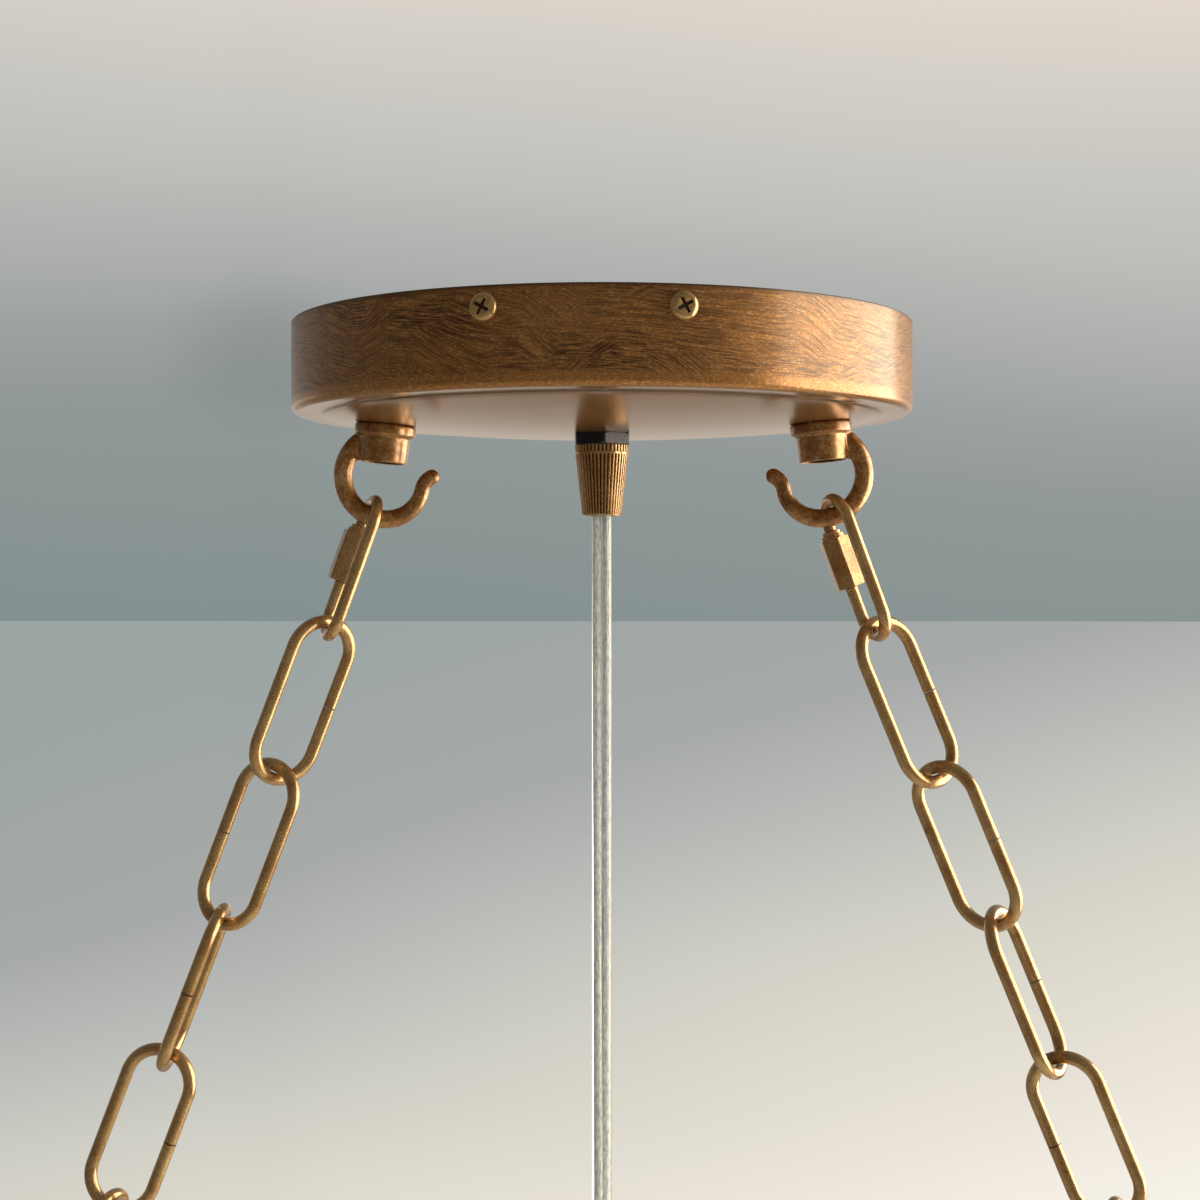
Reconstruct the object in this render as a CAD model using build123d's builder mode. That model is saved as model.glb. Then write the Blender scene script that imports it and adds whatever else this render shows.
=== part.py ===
from build123d import *

import math
import os

# Ceiling suspension of a rectangular chandelier, in millimetres: a round canopy on its bracket,
# two hooks, two chains closed by quick links, and a clear cable in a cord grip.
# The origin is the centre of the canopy's rim on the ceiling. +Z is up, the hooks lie along X,
# and the front, where the two front canopy screws are, faces -Y.

LEFT = -1
RIGHT = 1
FRONT = -1
REAR = 1

# Canopy: a pressed shell, open at the ceiling, with a flat band inside its lower corner
# and a shallow dome inside that band
CANOPY_RADIUS = 90.0
CANOPY_WALL_HEIGHT = 26.0
CANOPY_CORNER_RADIUS = 2.0
CANOPY_SHEET = 1.2
BAND_INNER_RADIUS = 81.5
STEP_WIDTH = 0.8
STEP_DEPTH = 0.5
DOME_LOWEST = 31.0

# Side screws, which hold the canopy on the bracket
SCREW_HALF_ANGLE = 16.2
SCREW_DROP = 5.7
SCREW_HEAD_RADIUS = 3.8
SCREW_HEAD_HEIGHT = 2.4
SCREW_HEAD_ROUNDING = 1.7
SCREW_SHANK_RADIUS = 1.95
SCREW_LENGTH = 6.5
SCREW_HOLE_RADIUS = 2.2
RECESS_WIDTH = 0.9
RECESS_SPAN = 4.4
RECESS_DEPTH = 1.3
RECESS_TURN = 45.0

# Bracket: a flat bar with ends turned down along the canopy's wall
BRACKET_WIDTH = 62.0
BRACKET_SHEET = 2.0
BRACKET_RADIUS = 88.3
BRACKET_TAB_DROP = 14.0
BRACKET_BEND_ROUNDING = 1.2
BRACKET_SLOTS = 2
BRACKET_SLOT_SPACING = 80.0
BRACKET_SLOT_LENGTH = 16.0
BRACKET_SLOT_WIDTH = 4.8
BRACKET_WIRE_HOLE_RADIUS = 9.0
BRACKET_TAP_RADIUS = 2.0

# Hook castings: a flanged hub with a threaded bore and a forged arm that starts at its outer side
HOOK_OFFSET = 63.7
HUB_FLANGE_RADIUS = 9.0
HUB_FLANGE_HEIGHT = 3.0
HUB_TOP_RADIUS = 7.6
HUB_BOTTOM_RADIUS = 7.25
HUB_HEIGHT = 11.2
HUB_EDGE_ROUNDING = 0.7
HUB_BORE_RADIUS = 5.0
HUB_RECESS_RADIUS = 6.4
HUB_RECESS_DEPTH = 2.4
HOOK_RING_RADIUS = 12.65
HOOK_RING_INSET = 1.3
HOOK_RING_DROP = 15.0
HOOK_ARM_RADIUS = 2.9
HOOK_WIRE_RADIUS = 2.7
HOOK_ARM_START = 52.0
HOOK_BIGHT_END = -105.0
HOOK_REACH_RADIUS = 10.6
HOOK_REACH_END = -174.5
HOOK_REACH_WIRE_RADIUS = 2.25
HOOK_TIP_RADIUS = 5.0
HOOK_TIP_ARC = 55.0
HOOK_TIP_BALL_RADIUS = 2.3

# Threaded tube, washer and nut that hold each hook to the canopy's sheet
TUBE_RADIUS = 4.95
TUBE_BORE_RADIUS = 3.5
HOOK_TUBE_RISE = 10.0
HOOK_TUBE_DROP = 8.8
TUBE_HOLE_RADIUS = 5.1
NUT_ACROSS_FLATS = 14.0
NUT_HEIGHT = 3.4
NUT_BORE_RADIUS = 5.0
NUT_CHAMFER = 0.5
WASHER_RADIUS = 8.4
WASHER_TOOTH_DEPTH = 1.2
WASHER_TEETH = 12
WASHER_HEIGHT = 1.0
SEAT_GAP = 0.1
HEXAGON_SIDES = 6

# Quick links: a wire loop with a gap in one limb that a hexagonal sleeve screws over
GAP_BETWEEN_LINKS = 0.25
QUICK_LINK_LENGTH = 45.6
QUICK_LINK_LIMB_SPACING = 14.2
QUICK_LINK_WIRE_RADIUS = 1.825
QUICK_LINK_THREAD_RADIUS = 2.0
QUICK_LINK_MOUTH = 5.2
QUICK_LINK_THREAD_LOW = -6.0
QUICK_LINK_THREAD_HIGH = 12.9
QUICK_LINK_TILT = 20.0
QUICK_LINK_TURN = 68.0
HOOK_CONTACT_ANGLE = 22.0
SLEEVE_ACROSS_FLATS = 8.0
SLEEVE_LOW = -5.0
SLEEVE_HIGH = 10.2
SLEEVE_CORNER_CUT = 0.45
SLEEVE_COLLAR_RADIUS = 3.45
SLEEVE_NECK_RADIUS = 2.8
SLEEVE_COLLAR_HEIGHT = 1.1
SLEEVE_BORE_RADIUS = 2.07
SLEEVE_TURN = {LEFT: 1.0, RIGHT: -12.5}
SLEEVE_TRAVEL = 8.5

# Chain links: stadium loops bent from wire, with the butt seam halfway along one limb
LINK_LENGTH = 53.2
LINK_WIDTH = 24.0
LINK_WIRE_RADIUS = 1.9
LINK_SEAM_GAP = 0.25
CHAIN_TILT = {LEFT: 20.9, RIGHT: 22.2}

# Each link's turn about its chain, from the plane of the hooks, and the limb its seam is on
LINK_TURNS = {LEFT: (-46.0, 27.0, -93.0, 8.0), RIGHT: (-41.0, 42.0, -65.0, 26.0)}
LINK_SEAM_LIMBS = {LEFT: (1, -1, -1, 1), RIGHT: (1, 1, 1, -1)}
LOWER_QUICK_LINK_TURN = {LEFT: -72.0, RIGHT: -71.0}

# Cord grip: hexagonal collar, ribbed tapered nut, bush, threaded tube and lock nut
COLLAR_ACROSS_FLATS = 15.6
COLLAR_HEIGHT = 3.2
COLLAR_TURN = 36.0
COLLAR_CHAMFER = 0.3
COLLAR_GAP = 0.05
GRIP_NUT_HEIGHT = 20.8
GRIP_NUT_TOP_RADIUS = 7.95
GRIP_NUT_BAND_RADIUS = 7.8
GRIP_NUT_BOTTOM_RADIUS = 5.75
GRIP_BAND_HEIGHT = 2.3
GRIP_RING_HEIGHT = 0.6
GRIP_RIBS = 42
GRIP_RIB_DEPTH = 0.42
GRIP_RIB_CREST_SHARE = 0.36
GRIP_BORE_RADIUS = 5.05
GRIP_LIP_RADIUS = 4.7
GRIP_LIP_HEIGHT = 0.8
GRIP_TUBE_INSERTION = 11.0
GRIP_TUBE_BORE_RADIUS = 3.1
GRIP_TUBE_RISE = 6.5
BUSH_HEIGHT = 7.0
BUSH_RADIUS = 4.95
BUSH_BORE_RADIUS = 2.95
BUSH_MOUTH_CHAMFER = 1.2
BUSH_INSET = 0.9
LOCK_NUT_HEIGHT = 3.0

# Clear two-core cable: its upper end inside the canopy and the straight stretch below the grip
CABLE_RADIUS = 2.85
CABLE_UPPER_END = -22.0
CABLE_LOWER_GRIP_TOP = -270.0
CABLE_LOWER_END = -292.0
LOWER_TUBE_LENGTH = 20.0

# Wiring inside the canopy
LEAD_RADIUS = 0.9
LEAD_BEND_SHARE = 0.45
CORE_OFFSET = 1.25
LIVE_LEAD_RISE = 6.5
LIVE_LEAD_BEND = (-5.5, 6.4, 0.5)
NEUTRAL_LEAD_RISE = 5.0
NEUTRAL_LEAD_BEND = (-5.5, -0.6, -0.4)
EARTH_LEAD_DROP = 0.6
EARTH_LEAD_ROUTE = ((-4.2, 0.6, 0.0), (-11.0, 2.6, -2.0), (-20.0, 7.0, -5.5))
BLOCK_CENTRE_X = -20.0
BLOCK_WIDTH = 14.0
BLOCK_LENGTH = 27.0
BLOCK_BASE_HEIGHT = 6.4
BLOCK_HEIGHT = 12.0
BLOCK_WAYS = 3
BLOCK_PITCH = 8.0
BLOCK_BARREL_RADIUS = 3.4
BLOCK_WIRE_HOLE_RADIUS = 1.5
BLOCK_WIRE_DROP = 8.4
BLOCK_SCREW_RADIUS = 1.7
BLOCK_SCREW_LENGTH = 2.2
BLOCK_FIXING_RADIUS = 1.4
EARTH_SCREW_POSITION = (20.0, -18.0)
EARTH_SCREW_RADIUS = 1.95
EARTH_HEAD_RADIUS = 4.0
EARTH_HEAD_HEIGHT = 2.2
EARTH_RING_RADIUS = 4.2
EARTH_RING_HEIGHT = 0.8
SLOT_WIDTH = 1.0
SLOT_DEPTH = 0.9
SCREW_GAP = 0.05
SCREW_END_GAP = 0.2

# The hook on each side leans out with the dome that it seats on
DOME_EDGE_RADIUS = BAND_INNER_RADIUS - STEP_WIDTH
DOME_EDGE_DROP = CANOPY_WALL_HEIGHT + STEP_DEPTH
DOME_RISE = DOME_LOWEST - DOME_EDGE_DROP
DOME_SPHERE_RADIUS = (DOME_EDGE_RADIUS**2 + DOME_RISE**2) / (2 * DOME_RISE)
HOOK_LEAN = math.degrees(math.asin(HOOK_OFFSET / DOME_SPHERE_RADIUS))

# The gap in a quick link's limb starts just above the sleeve's top when the sleeve is run down
QUICK_LINK_MOUTH_LOW = SLEEVE_HIGH + 2 * SLEEVE_COLLAR_HEIGHT - SLEEVE_TRAVEL + SEAT_GAP
QUICK_LINK_MOUTH_HIGH = QUICK_LINK_MOUTH_LOW + QUICK_LINK_MOUTH

# Heights of the cord grip's faces, below the dome's lowest point
COLLAR_TOP = -DOME_LOWEST - COLLAR_GAP
COLLAR_BOTTOM = COLLAR_TOP - COLLAR_HEIGHT
GRIP_NUT_BOTTOM = COLLAR_BOTTOM - GRIP_NUT_HEIGHT


def dome_height(radius, depth=0.0):
    """Height of the dome's outer face at a radius, or of a face that lies depth above it."""
    sphere_radius = DOME_SPHERE_RADIUS - depth
    centre = DOME_SPHERE_RADIUS - DOME_LOWEST
    return centre - math.sqrt(sphere_radius**2 - radius**2)


def save(part, name):
    """Label a finished piece and write it under its own name."""
    part.label = name
    export_step(part, f"parts/{name}.step")


def side_name(side):
    return "left" if side == LEFT else "right"


def hook_plane(side):
    """Plane of a hook: origin on the dome, X outwards, Y up along the hub."""
    lean = math.radians(HOOK_LEAN)
    seat = Vector(side * HOOK_OFFSET, 0, dome_height(HOOK_OFFSET))
    outwards = Vector(side * math.cos(lean), 0, math.sin(lean))
    return Plane(origin=seat, x_dir=outwards, z_dir=(0, -side, 0))


def ring_centre(side):
    """Centre of the round bight that the quick link hangs in."""
    return hook_plane(side).from_local_coords(Vector(-HOOK_RING_INSET, -HOOK_RING_DROP, 0))


def hang_direction(side, tilt):
    """Unit vector down a piece that hangs outwards by an angle."""
    return Vector(side * math.sin(math.radians(tilt)), 0, -math.cos(math.radians(tilt)))


def lateral_direction(side, tilt, turn):
    """Unit vector across a loop's limbs, turned about the direction that the loop hangs in."""
    in_hook_plane = Vector(math.cos(math.radians(tilt)), 0, side * math.sin(math.radians(tilt)))
    to_front = Vector(0, -1, 0)
    return in_hook_plane * math.cos(math.radians(turn)) + to_front * math.sin(math.radians(turn))


def loop_plane(side, tilt, turn, top_wire, half_pitch):
    """Plane of a wire loop: origin at its centre, X across its limbs, Y up it."""
    down = hang_direction(side, tilt)
    across = lateral_direction(side, tilt, turn)
    return Plane(origin=top_wire + down * half_pitch, x_dir=across, z_dir=across.cross(-down))


def chain_layout(side):
    """Plane of every loop on one side, from the hook down: quick link, links, quick link."""
    tilt = CHAIN_TILT[side]
    down = hang_direction(side, tilt)
    quick_half = QUICK_LINK_LENGTH / 2 - QUICK_LINK_WIRE_RADIUS
    link_half = LINK_LENGTH / 2 - LINK_WIRE_RADIUS

    contact = hang_direction(side, HOOK_CONTACT_ANGLE)
    clearance = HOOK_WIRE_RADIUS + QUICK_LINK_WIRE_RADIUS + GAP_BETWEEN_LINKS
    top_wire = ring_centre(side) + contact * (HOOK_RING_RADIUS - clearance)
    planes = [loop_plane(side, QUICK_LINK_TILT, QUICK_LINK_TURN, top_wire, quick_half)]
    bottom_wire = top_wire + hang_direction(side, QUICK_LINK_TILT) * (2 * quick_half)

    overlap = QUICK_LINK_WIRE_RADIUS + LINK_WIRE_RADIUS + GAP_BETWEEN_LINKS
    for turn in LINK_TURNS[side]:
        top_wire = bottom_wire - down * overlap
        planes.append(loop_plane(side, tilt, turn, top_wire, link_half))
        bottom_wire = top_wire + down * (2 * link_half)
        overlap = 2 * LINK_WIRE_RADIUS + GAP_BETWEEN_LINKS

    overlap = QUICK_LINK_WIRE_RADIUS + LINK_WIRE_RADIUS + GAP_BETWEEN_LINKS
    top_wire = bottom_wire - down * overlap
    planes.append(loop_plane(side, tilt, LOWER_QUICK_LINK_TURN[side], top_wire, quick_half))
    return planes


def loop_wire(plane, bend_radius, limb_half, seam_limb, seam_low, seam_high):
    """Centre line of a stadium loop, from the top of its seam round to the bottom of its seam."""
    start_angle = 0 if seam_limb > 0 else 180
    half_turn = 180 * seam_limb
    x = seam_limb * bend_radius
    with BuildLine(plane) as path:
        Line((x, seam_high), (x, limb_half))
        CenterArc((0, limb_half), bend_radius, start_angle, half_turn)
        Line((-x, limb_half), (-x, -limb_half))
        CenterArc((0, -limb_half), bend_radius, start_angle + 180, half_turn)
        Line((x, -limb_half), (x, seam_low))
    return path.wire()


def make_canopy():
    outer_corner = CANOPY_CORNER_RADIUS
    inner_corner = CANOPY_CORNER_RADIUS - CANOPY_SHEET
    corner_x = CANOPY_RADIUS - outer_corner
    corner_z = outer_corner - CANOPY_WALL_HEIGHT
    half_edge = DOME_EDGE_RADIUS / 2
    inner_edge = DOME_EDGE_RADIUS - CANOPY_SHEET / 2
    inner_lift = CANOPY_SHEET
    with BuildPart() as canopy:
        with BuildSketch(Plane.XZ):
            with BuildLine():
                wall = Line((CANOPY_RADIUS - CANOPY_SHEET, 0), (CANOPY_RADIUS, 0))
                Line(wall @ 1, (CANOPY_RADIUS, corner_z))
                CenterArc((corner_x, corner_z), outer_corner, 0, -90)
                Polyline(
                    (corner_x, -CANOPY_WALL_HEIGHT),
                    (BAND_INNER_RADIUS, -CANOPY_WALL_HEIGHT),
                    (DOME_EDGE_RADIUS, -DOME_EDGE_DROP),
                )
                ThreePointArc(
                    (DOME_EDGE_RADIUS, -DOME_EDGE_DROP),
                    (half_edge, dome_height(half_edge)),
                    (0, -DOME_LOWEST),
                )
                Line((0, -DOME_LOWEST), (0, -DOME_LOWEST + inner_lift))
                ThreePointArc(
                    (0, -DOME_LOWEST + inner_lift),
                    (half_edge, dome_height(half_edge, inner_lift)),
                    (inner_edge, dome_height(inner_edge, inner_lift)),
                )
                Polyline(
                    (inner_edge, dome_height(inner_edge, inner_lift)),
                    (BAND_INNER_RADIUS, inner_lift - CANOPY_WALL_HEIGHT),
                    (corner_x, inner_lift - CANOPY_WALL_HEIGHT),
                )
                CenterArc((corner_x, corner_z), inner_corner, -90, 90)
                Line((corner_x + inner_corner, corner_z), wall @ 0)
            make_face()
        revolve(axis=Axis.Z)
        # holes in the dome, square to it, for the two hook tubes and the cord grip's tube
        for side in (LEFT, RIGHT):
            frame = hook_plane(side)
            with BuildSketch(Plane(origin=frame.origin, z_dir=frame.y_dir)):
                Circle(TUBE_HOLE_RADIUS)
            extrude(amount=NUT_HEIGHT, both=True, mode=Mode.SUBTRACT)
        with BuildSketch(Plane.XY.offset(-DOME_LOWEST)):
            Circle(TUBE_HOLE_RADIUS)
        extrude(amount=NUT_HEIGHT, both=True, mode=Mode.SUBTRACT)
        # clearance holes for the side screws
        for facing in (FRONT, REAR):
            for turn in (-SCREW_HALF_ANGLE, SCREW_HALF_ANGLE):
                with BuildSketch(screw_plane(facing, turn)):
                    Circle(SCREW_HOLE_RADIUS)
                extrude(amount=-SCREW_LENGTH, mode=Mode.SUBTRACT)
    save(canopy.part, "canopy")


def screw_plane(facing, turn):
    """Plane that touches the canopy's wall under a screw head, with Z outwards."""
    angle = math.radians(turn)
    outwards = Vector(math.sin(angle), facing * math.cos(angle), 0)
    origin = outwards * CANOPY_RADIUS + Vector(0, 0, -SCREW_DROP)
    return Plane(origin=origin, x_dir=Vector(0, 0, 1).cross(outwards), z_dir=outwards)


def make_canopy_screw(facing, turn, name):
    seat = screw_plane(facing, turn)
    with BuildPart() as screw:
        with BuildSketch(seat):
            Circle(SCREW_HEAD_RADIUS)
        extrude(amount=SCREW_HEAD_HEIGHT)
        rim = screw.edges().filter_by(GeomType.CIRCLE).sort_by(Axis(seat.origin, seat.z_dir))[-1]
        fillet(rim, SCREW_HEAD_ROUNDING)
        with BuildSketch(seat):
            Circle(SCREW_SHANK_RADIUS)
        extrude(amount=-SCREW_LENGTH)
        with BuildSketch(seat.offset(SCREW_HEAD_HEIGHT)):
            Rectangle(RECESS_WIDTH, RECESS_SPAN, rotation=RECESS_TURN)
            Rectangle(RECESS_SPAN, RECESS_WIDTH, rotation=RECESS_TURN)
        extrude(amount=-RECESS_DEPTH, mode=Mode.SUBTRACT)
    save(screw.part, name)


def make_bracket():
    with BuildPart() as bracket:
        with BuildSketch():
            Circle(BRACKET_RADIUS)
            Rectangle(BRACKET_WIDTH, 2 * BRACKET_RADIUS, mode=Mode.INTERSECT)
        extrude(amount=-BRACKET_SHEET)
        with BuildSketch():
            Circle(BRACKET_RADIUS)
            Circle(BRACKET_RADIUS - BRACKET_SHEET, mode=Mode.SUBTRACT)
            Rectangle(BRACKET_WIDTH, 2 * BRACKET_RADIUS, mode=Mode.INTERSECT)
        extrude(amount=-BRACKET_TAB_DROP)
        bends = bracket.edges().filter_by(GeomType.CIRCLE).group_by(Axis.Z)[-1]
        fillet(bends, BRACKET_BEND_ROUNDING)
        # slots for the ceiling box's screws, and the hole that its wires come through
        with BuildSketch():
            with GridLocations(0, BRACKET_SLOT_SPACING, 1, BRACKET_SLOTS):
                SlotOverall(BRACKET_SLOT_LENGTH, BRACKET_SLOT_WIDTH, rotation=90)
            Circle(BRACKET_WIRE_HOLE_RADIUS)
        extrude(amount=-BRACKET_SHEET, mode=Mode.SUBTRACT)
        # tapped holes for the earth screw and the terminal block's screw
        with BuildSketch():
            with Locations(EARTH_SCREW_POSITION):
                Circle(BRACKET_TAP_RADIUS)
            with Locations((BLOCK_CENTRE_X, BLOCK_PITCH / 2)):
                Circle(BLOCK_FIXING_RADIUS)
        extrude(amount=-BRACKET_SHEET, mode=Mode.SUBTRACT)
        # tapped holes for the side screws
        for facing in (FRONT, REAR):
            for turn in (-SCREW_HALF_ANGLE, SCREW_HALF_ANGLE):
                with BuildSketch(screw_plane(facing, turn)):
                    Circle(BRACKET_TAP_RADIUS)
                extrude(amount=-SCREW_LENGTH, mode=Mode.SUBTRACT)
    save(bracket.part, "mounting_bracket")


def make_hook(side):
    frame = hook_plane(side)
    up_axis = Axis(frame.origin, frame.y_dir)
    ring = (-HOOK_RING_INSET, -HOOK_RING_DROP)
    # the arm: round bight that thins a little, tighter and thinner reach, tip that turns back out
    with BuildLine(frame):
        bight = CenterArc(ring, HOOK_RING_RADIUS, HOOK_ARM_START, HOOK_BIGHT_END - HOOK_ARM_START)
        reach_centre = hook_point(ring, HOOK_RING_RADIUS - HOOK_REACH_RADIUS, HOOK_BIGHT_END)
        reach = CenterArc(
            reach_centre, HOOK_REACH_RADIUS, HOOK_BIGHT_END, HOOK_REACH_END - HOOK_BIGHT_END
        )
        tip_centre = hook_point(reach_centre, HOOK_REACH_RADIUS + HOOK_TIP_RADIUS, HOOK_REACH_END)
        tip = CenterArc(tip_centre, HOOK_TIP_RADIUS, HOOK_REACH_END + 180, HOOK_TIP_ARC)
    with BuildPart() as hook:
        with BuildSketch(frame):
            with BuildLine():
                Polyline(
                    (0, 0),
                    (HUB_FLANGE_RADIUS, 0),
                    (HUB_FLANGE_RADIUS, -HUB_FLANGE_HEIGHT),
                    (HUB_TOP_RADIUS, -HUB_FLANGE_HEIGHT - HUB_EDGE_ROUNDING),
                    (HUB_BOTTOM_RADIUS, -HUB_HEIGHT),
                    (0, -HUB_HEIGHT),
                    close=True,
                )
            make_face()
        revolve(axis=up_axis)
        flange_rims = hook.edges().filter_by(GeomType.CIRCLE).sort_by(SortBy.RADIUS)[-2:]
        fillet(flange_rims, HUB_EDGE_ROUNDING)
        spans = (
            (bight, HOOK_ARM_RADIUS, HOOK_WIRE_RADIUS),
            (reach, HOOK_WIRE_RADIUS, HOOK_REACH_WIRE_RADIUS),
            (tip, HOOK_REACH_WIRE_RADIUS, HOOK_REACH_WIRE_RADIUS),
        )
        for span, start_radius, end_radius in spans:
            for place, radius in ((0, start_radius), (1, end_radius)):
                with BuildSketch(Plane(origin=span @ place, z_dir=span % place)):
                    Circle(radius)
            sweep(path=span, multisection=True)
        with Locations(tip @ 1):
            Sphere(HOOK_TIP_BALL_RADIUS)
        # threaded bore and the shallow recess at its mouth
        with BuildSketch(Plane(origin=frame.origin, z_dir=frame.y_dir)):
            Circle(HUB_BORE_RADIUS)
        extrude(amount=-HUB_HEIGHT, mode=Mode.SUBTRACT)
        mouth = frame.from_local_coords(Vector(0, -HUB_HEIGHT, 0))
        with BuildSketch(Plane(origin=mouth, z_dir=frame.y_dir)):
            Circle(HUB_RECESS_RADIUS)
        extrude(amount=HUB_RECESS_DEPTH, mode=Mode.SUBTRACT)
    save(hook.part, f"hook_{side_name(side)}")


def hook_point(centre, radius, angle):
    """Point on a circle in the hook's plane."""
    turn = math.radians(angle)
    return (centre[0] + radius * math.cos(turn), centre[1] + radius * math.sin(turn))


def make_tube(plane, low, high, bore_radius, name):
    """Threaded tube along a plane's Z, drawn at its thread's outer diameter."""
    with BuildPart() as tube:
        with BuildSketch(plane.offset(low)):
            Circle(TUBE_RADIUS)
            Circle(bore_radius, mode=Mode.SUBTRACT)
        extrude(amount=high - low)
    save(tube.part, name)


def make_nut(plane, low, height, name):
    """Hexagonal nut with chamfered corners."""
    with BuildPart() as nut:
        with BuildSketch(plane.offset(low)):
            RegularPolygon(NUT_ACROSS_FLATS / 2, HEXAGON_SIDES, major_radius=False)
        extrude(amount=height)
        corner = NUT_ACROSS_FLATS / math.sqrt(3)
        with BuildSketch(Plane(origin=plane.origin, x_dir=plane.x_dir, z_dir=-plane.y_dir)):
            with BuildLine():
                Polyline(
                    (0, low),
                    (corner - NUT_CHAMFER, low),
                    (corner, low + NUT_CHAMFER),
                    (corner, low + height - NUT_CHAMFER),
                    (corner - NUT_CHAMFER, low + height),
                    (0, low + height),
                    close=True,
                )
            make_face()
        revolve(axis=Axis(plane.origin, plane.z_dir), mode=Mode.INTERSECT)
        with BuildSketch(plane.offset(low)):
            Circle(NUT_BORE_RADIUS)
        extrude(amount=height, mode=Mode.SUBTRACT)
    save(nut.part, name)


def make_lock_washer(plane, low, name):
    """Toothed washer: notches round its rim bite the canopy's sheet."""
    with BuildPart() as washer:
        with BuildSketch(plane.offset(low)):
            Circle(WASHER_RADIUS)
            Circle(TUBE_HOLE_RADIUS, mode=Mode.SUBTRACT)
            with PolarLocations(WASHER_RADIUS, WASHER_TEETH):
                Rectangle(2 * WASHER_TOOTH_DEPTH, WASHER_TOOTH_DEPTH, mode=Mode.SUBTRACT)
        extrude(amount=WASHER_HEIGHT)
    save(washer.part, name)


def make_hook_hardware(side):
    frame = hook_plane(side)
    axis_plane = Plane(origin=frame.origin, x_dir=frame.x_dir, z_dir=frame.y_dir)
    inside = CANOPY_SHEET + SEAT_GAP
    end = side_name(side)
    make_tube(axis_plane, -HOOK_TUBE_DROP, HOOK_TUBE_RISE, TUBE_BORE_RADIUS, f"hook_tube_{end}")
    make_lock_washer(axis_plane, inside, f"hook_lock_washer_{end}")
    make_nut(axis_plane, inside + WASHER_HEIGHT, NUT_HEIGHT, f"hook_nut_{end}")


def make_quick_link(plane, name):
    """Wire loop with a gap in one limb and a threaded end on each side of the gap."""
    bend_radius = QUICK_LINK_LIMB_SPACING / 2
    limb_half = QUICK_LINK_LENGTH / 2 - QUICK_LINK_WIRE_RADIUS - bend_radius
    limb = plane.from_local_coords(Vector(-bend_radius, 0, 0))
    limb_plane = Plane(origin=limb, x_dir=plane.x_dir, z_dir=plane.y_dir)
    loop = loop_wire(plane, bend_radius, limb_half, -1, QUICK_LINK_MOUTH_LOW, QUICK_LINK_MOUTH_HIGH)
    with BuildPart() as quick_link:
        with BuildSketch(Plane(origin=loop @ 0, z_dir=loop % 0)):
            Circle(QUICK_LINK_WIRE_RADIUS)
        sweep(path=loop)
        with BuildSketch(limb_plane.offset(QUICK_LINK_THREAD_LOW)):
            Circle(QUICK_LINK_THREAD_RADIUS)
        extrude(amount=QUICK_LINK_MOUTH_LOW - QUICK_LINK_THREAD_LOW)
        with BuildSketch(limb_plane.offset(QUICK_LINK_MOUTH_HIGH)):
            Circle(QUICK_LINK_THREAD_RADIUS)
        extrude(amount=QUICK_LINK_THREAD_HIGH - QUICK_LINK_MOUTH_HIGH)
    save(quick_link.part, name)


def make_sleeve(plane, turn, name):
    """Hexagonal screw sleeve with a turned collar and neck at its upper end."""
    limb = plane.from_local_coords(Vector(-QUICK_LINK_LIMB_SPACING / 2, 0, 0))
    limb_plane = Plane(origin=limb, x_dir=plane.x_dir, z_dir=plane.y_dir)
    corner = SLEEVE_ACROSS_FLATS / math.sqrt(3)
    neck_low = SLEEVE_HIGH + SLEEVE_COLLAR_HEIGHT
    neck_high = neck_low + SLEEVE_COLLAR_HEIGHT
    with BuildPart() as sleeve:
        with BuildSketch(limb_plane.offset(SLEEVE_LOW)):
            RegularPolygon(SLEEVE_ACROSS_FLATS / 2, HEXAGON_SIDES, major_radius=False, rotation=turn)
        extrude(amount=SLEEVE_HIGH - SLEEVE_LOW)
        with BuildSketch(Plane(origin=limb, x_dir=plane.x_dir, z_dir=plane.z_dir)):
            with BuildLine():
                Polyline(
                    (0, SLEEVE_LOW),
                    (corner - SLEEVE_CORNER_CUT, SLEEVE_LOW),
                    (corner, SLEEVE_LOW + SLEEVE_CORNER_CUT),
                    (corner, SLEEVE_HIGH - SLEEVE_CORNER_CUT),
                    (corner - SLEEVE_CORNER_CUT, SLEEVE_HIGH),
                    (0, SLEEVE_HIGH),
                    close=True,
                )
            make_face()
        revolve(axis=Axis(limb, plane.y_dir), mode=Mode.INTERSECT)
        with BuildSketch(limb_plane.offset(SLEEVE_HIGH)):
            Circle(SLEEVE_COLLAR_RADIUS)
        extrude(amount=SLEEVE_COLLAR_HEIGHT)
        with BuildSketch(limb_plane.offset(neck_low)):
            Circle(SLEEVE_NECK_RADIUS)
        extrude(amount=SLEEVE_COLLAR_HEIGHT)
        with BuildSketch(limb_plane.offset(SLEEVE_LOW)):
            Circle(SLEEVE_BORE_RADIUS)
        extrude(amount=neck_high - SLEEVE_LOW, mode=Mode.SUBTRACT)
    save(sleeve.part, name)


def make_chain_link(plane, seam_limb, name):
    bend_radius = LINK_WIDTH / 2 - LINK_WIRE_RADIUS
    limb_half = LINK_LENGTH / 2 - LINK_WIRE_RADIUS - bend_radius
    half_gap = LINK_SEAM_GAP / 2
    loop = loop_wire(plane, bend_radius, limb_half, seam_limb, -half_gap, half_gap)
    with BuildPart() as link:
        with BuildSketch(Plane(origin=loop @ 0, z_dir=loop % 0)):
            Circle(LINK_WIRE_RADIUS)
        sweep(path=loop)
    save(link.part, name)


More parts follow.
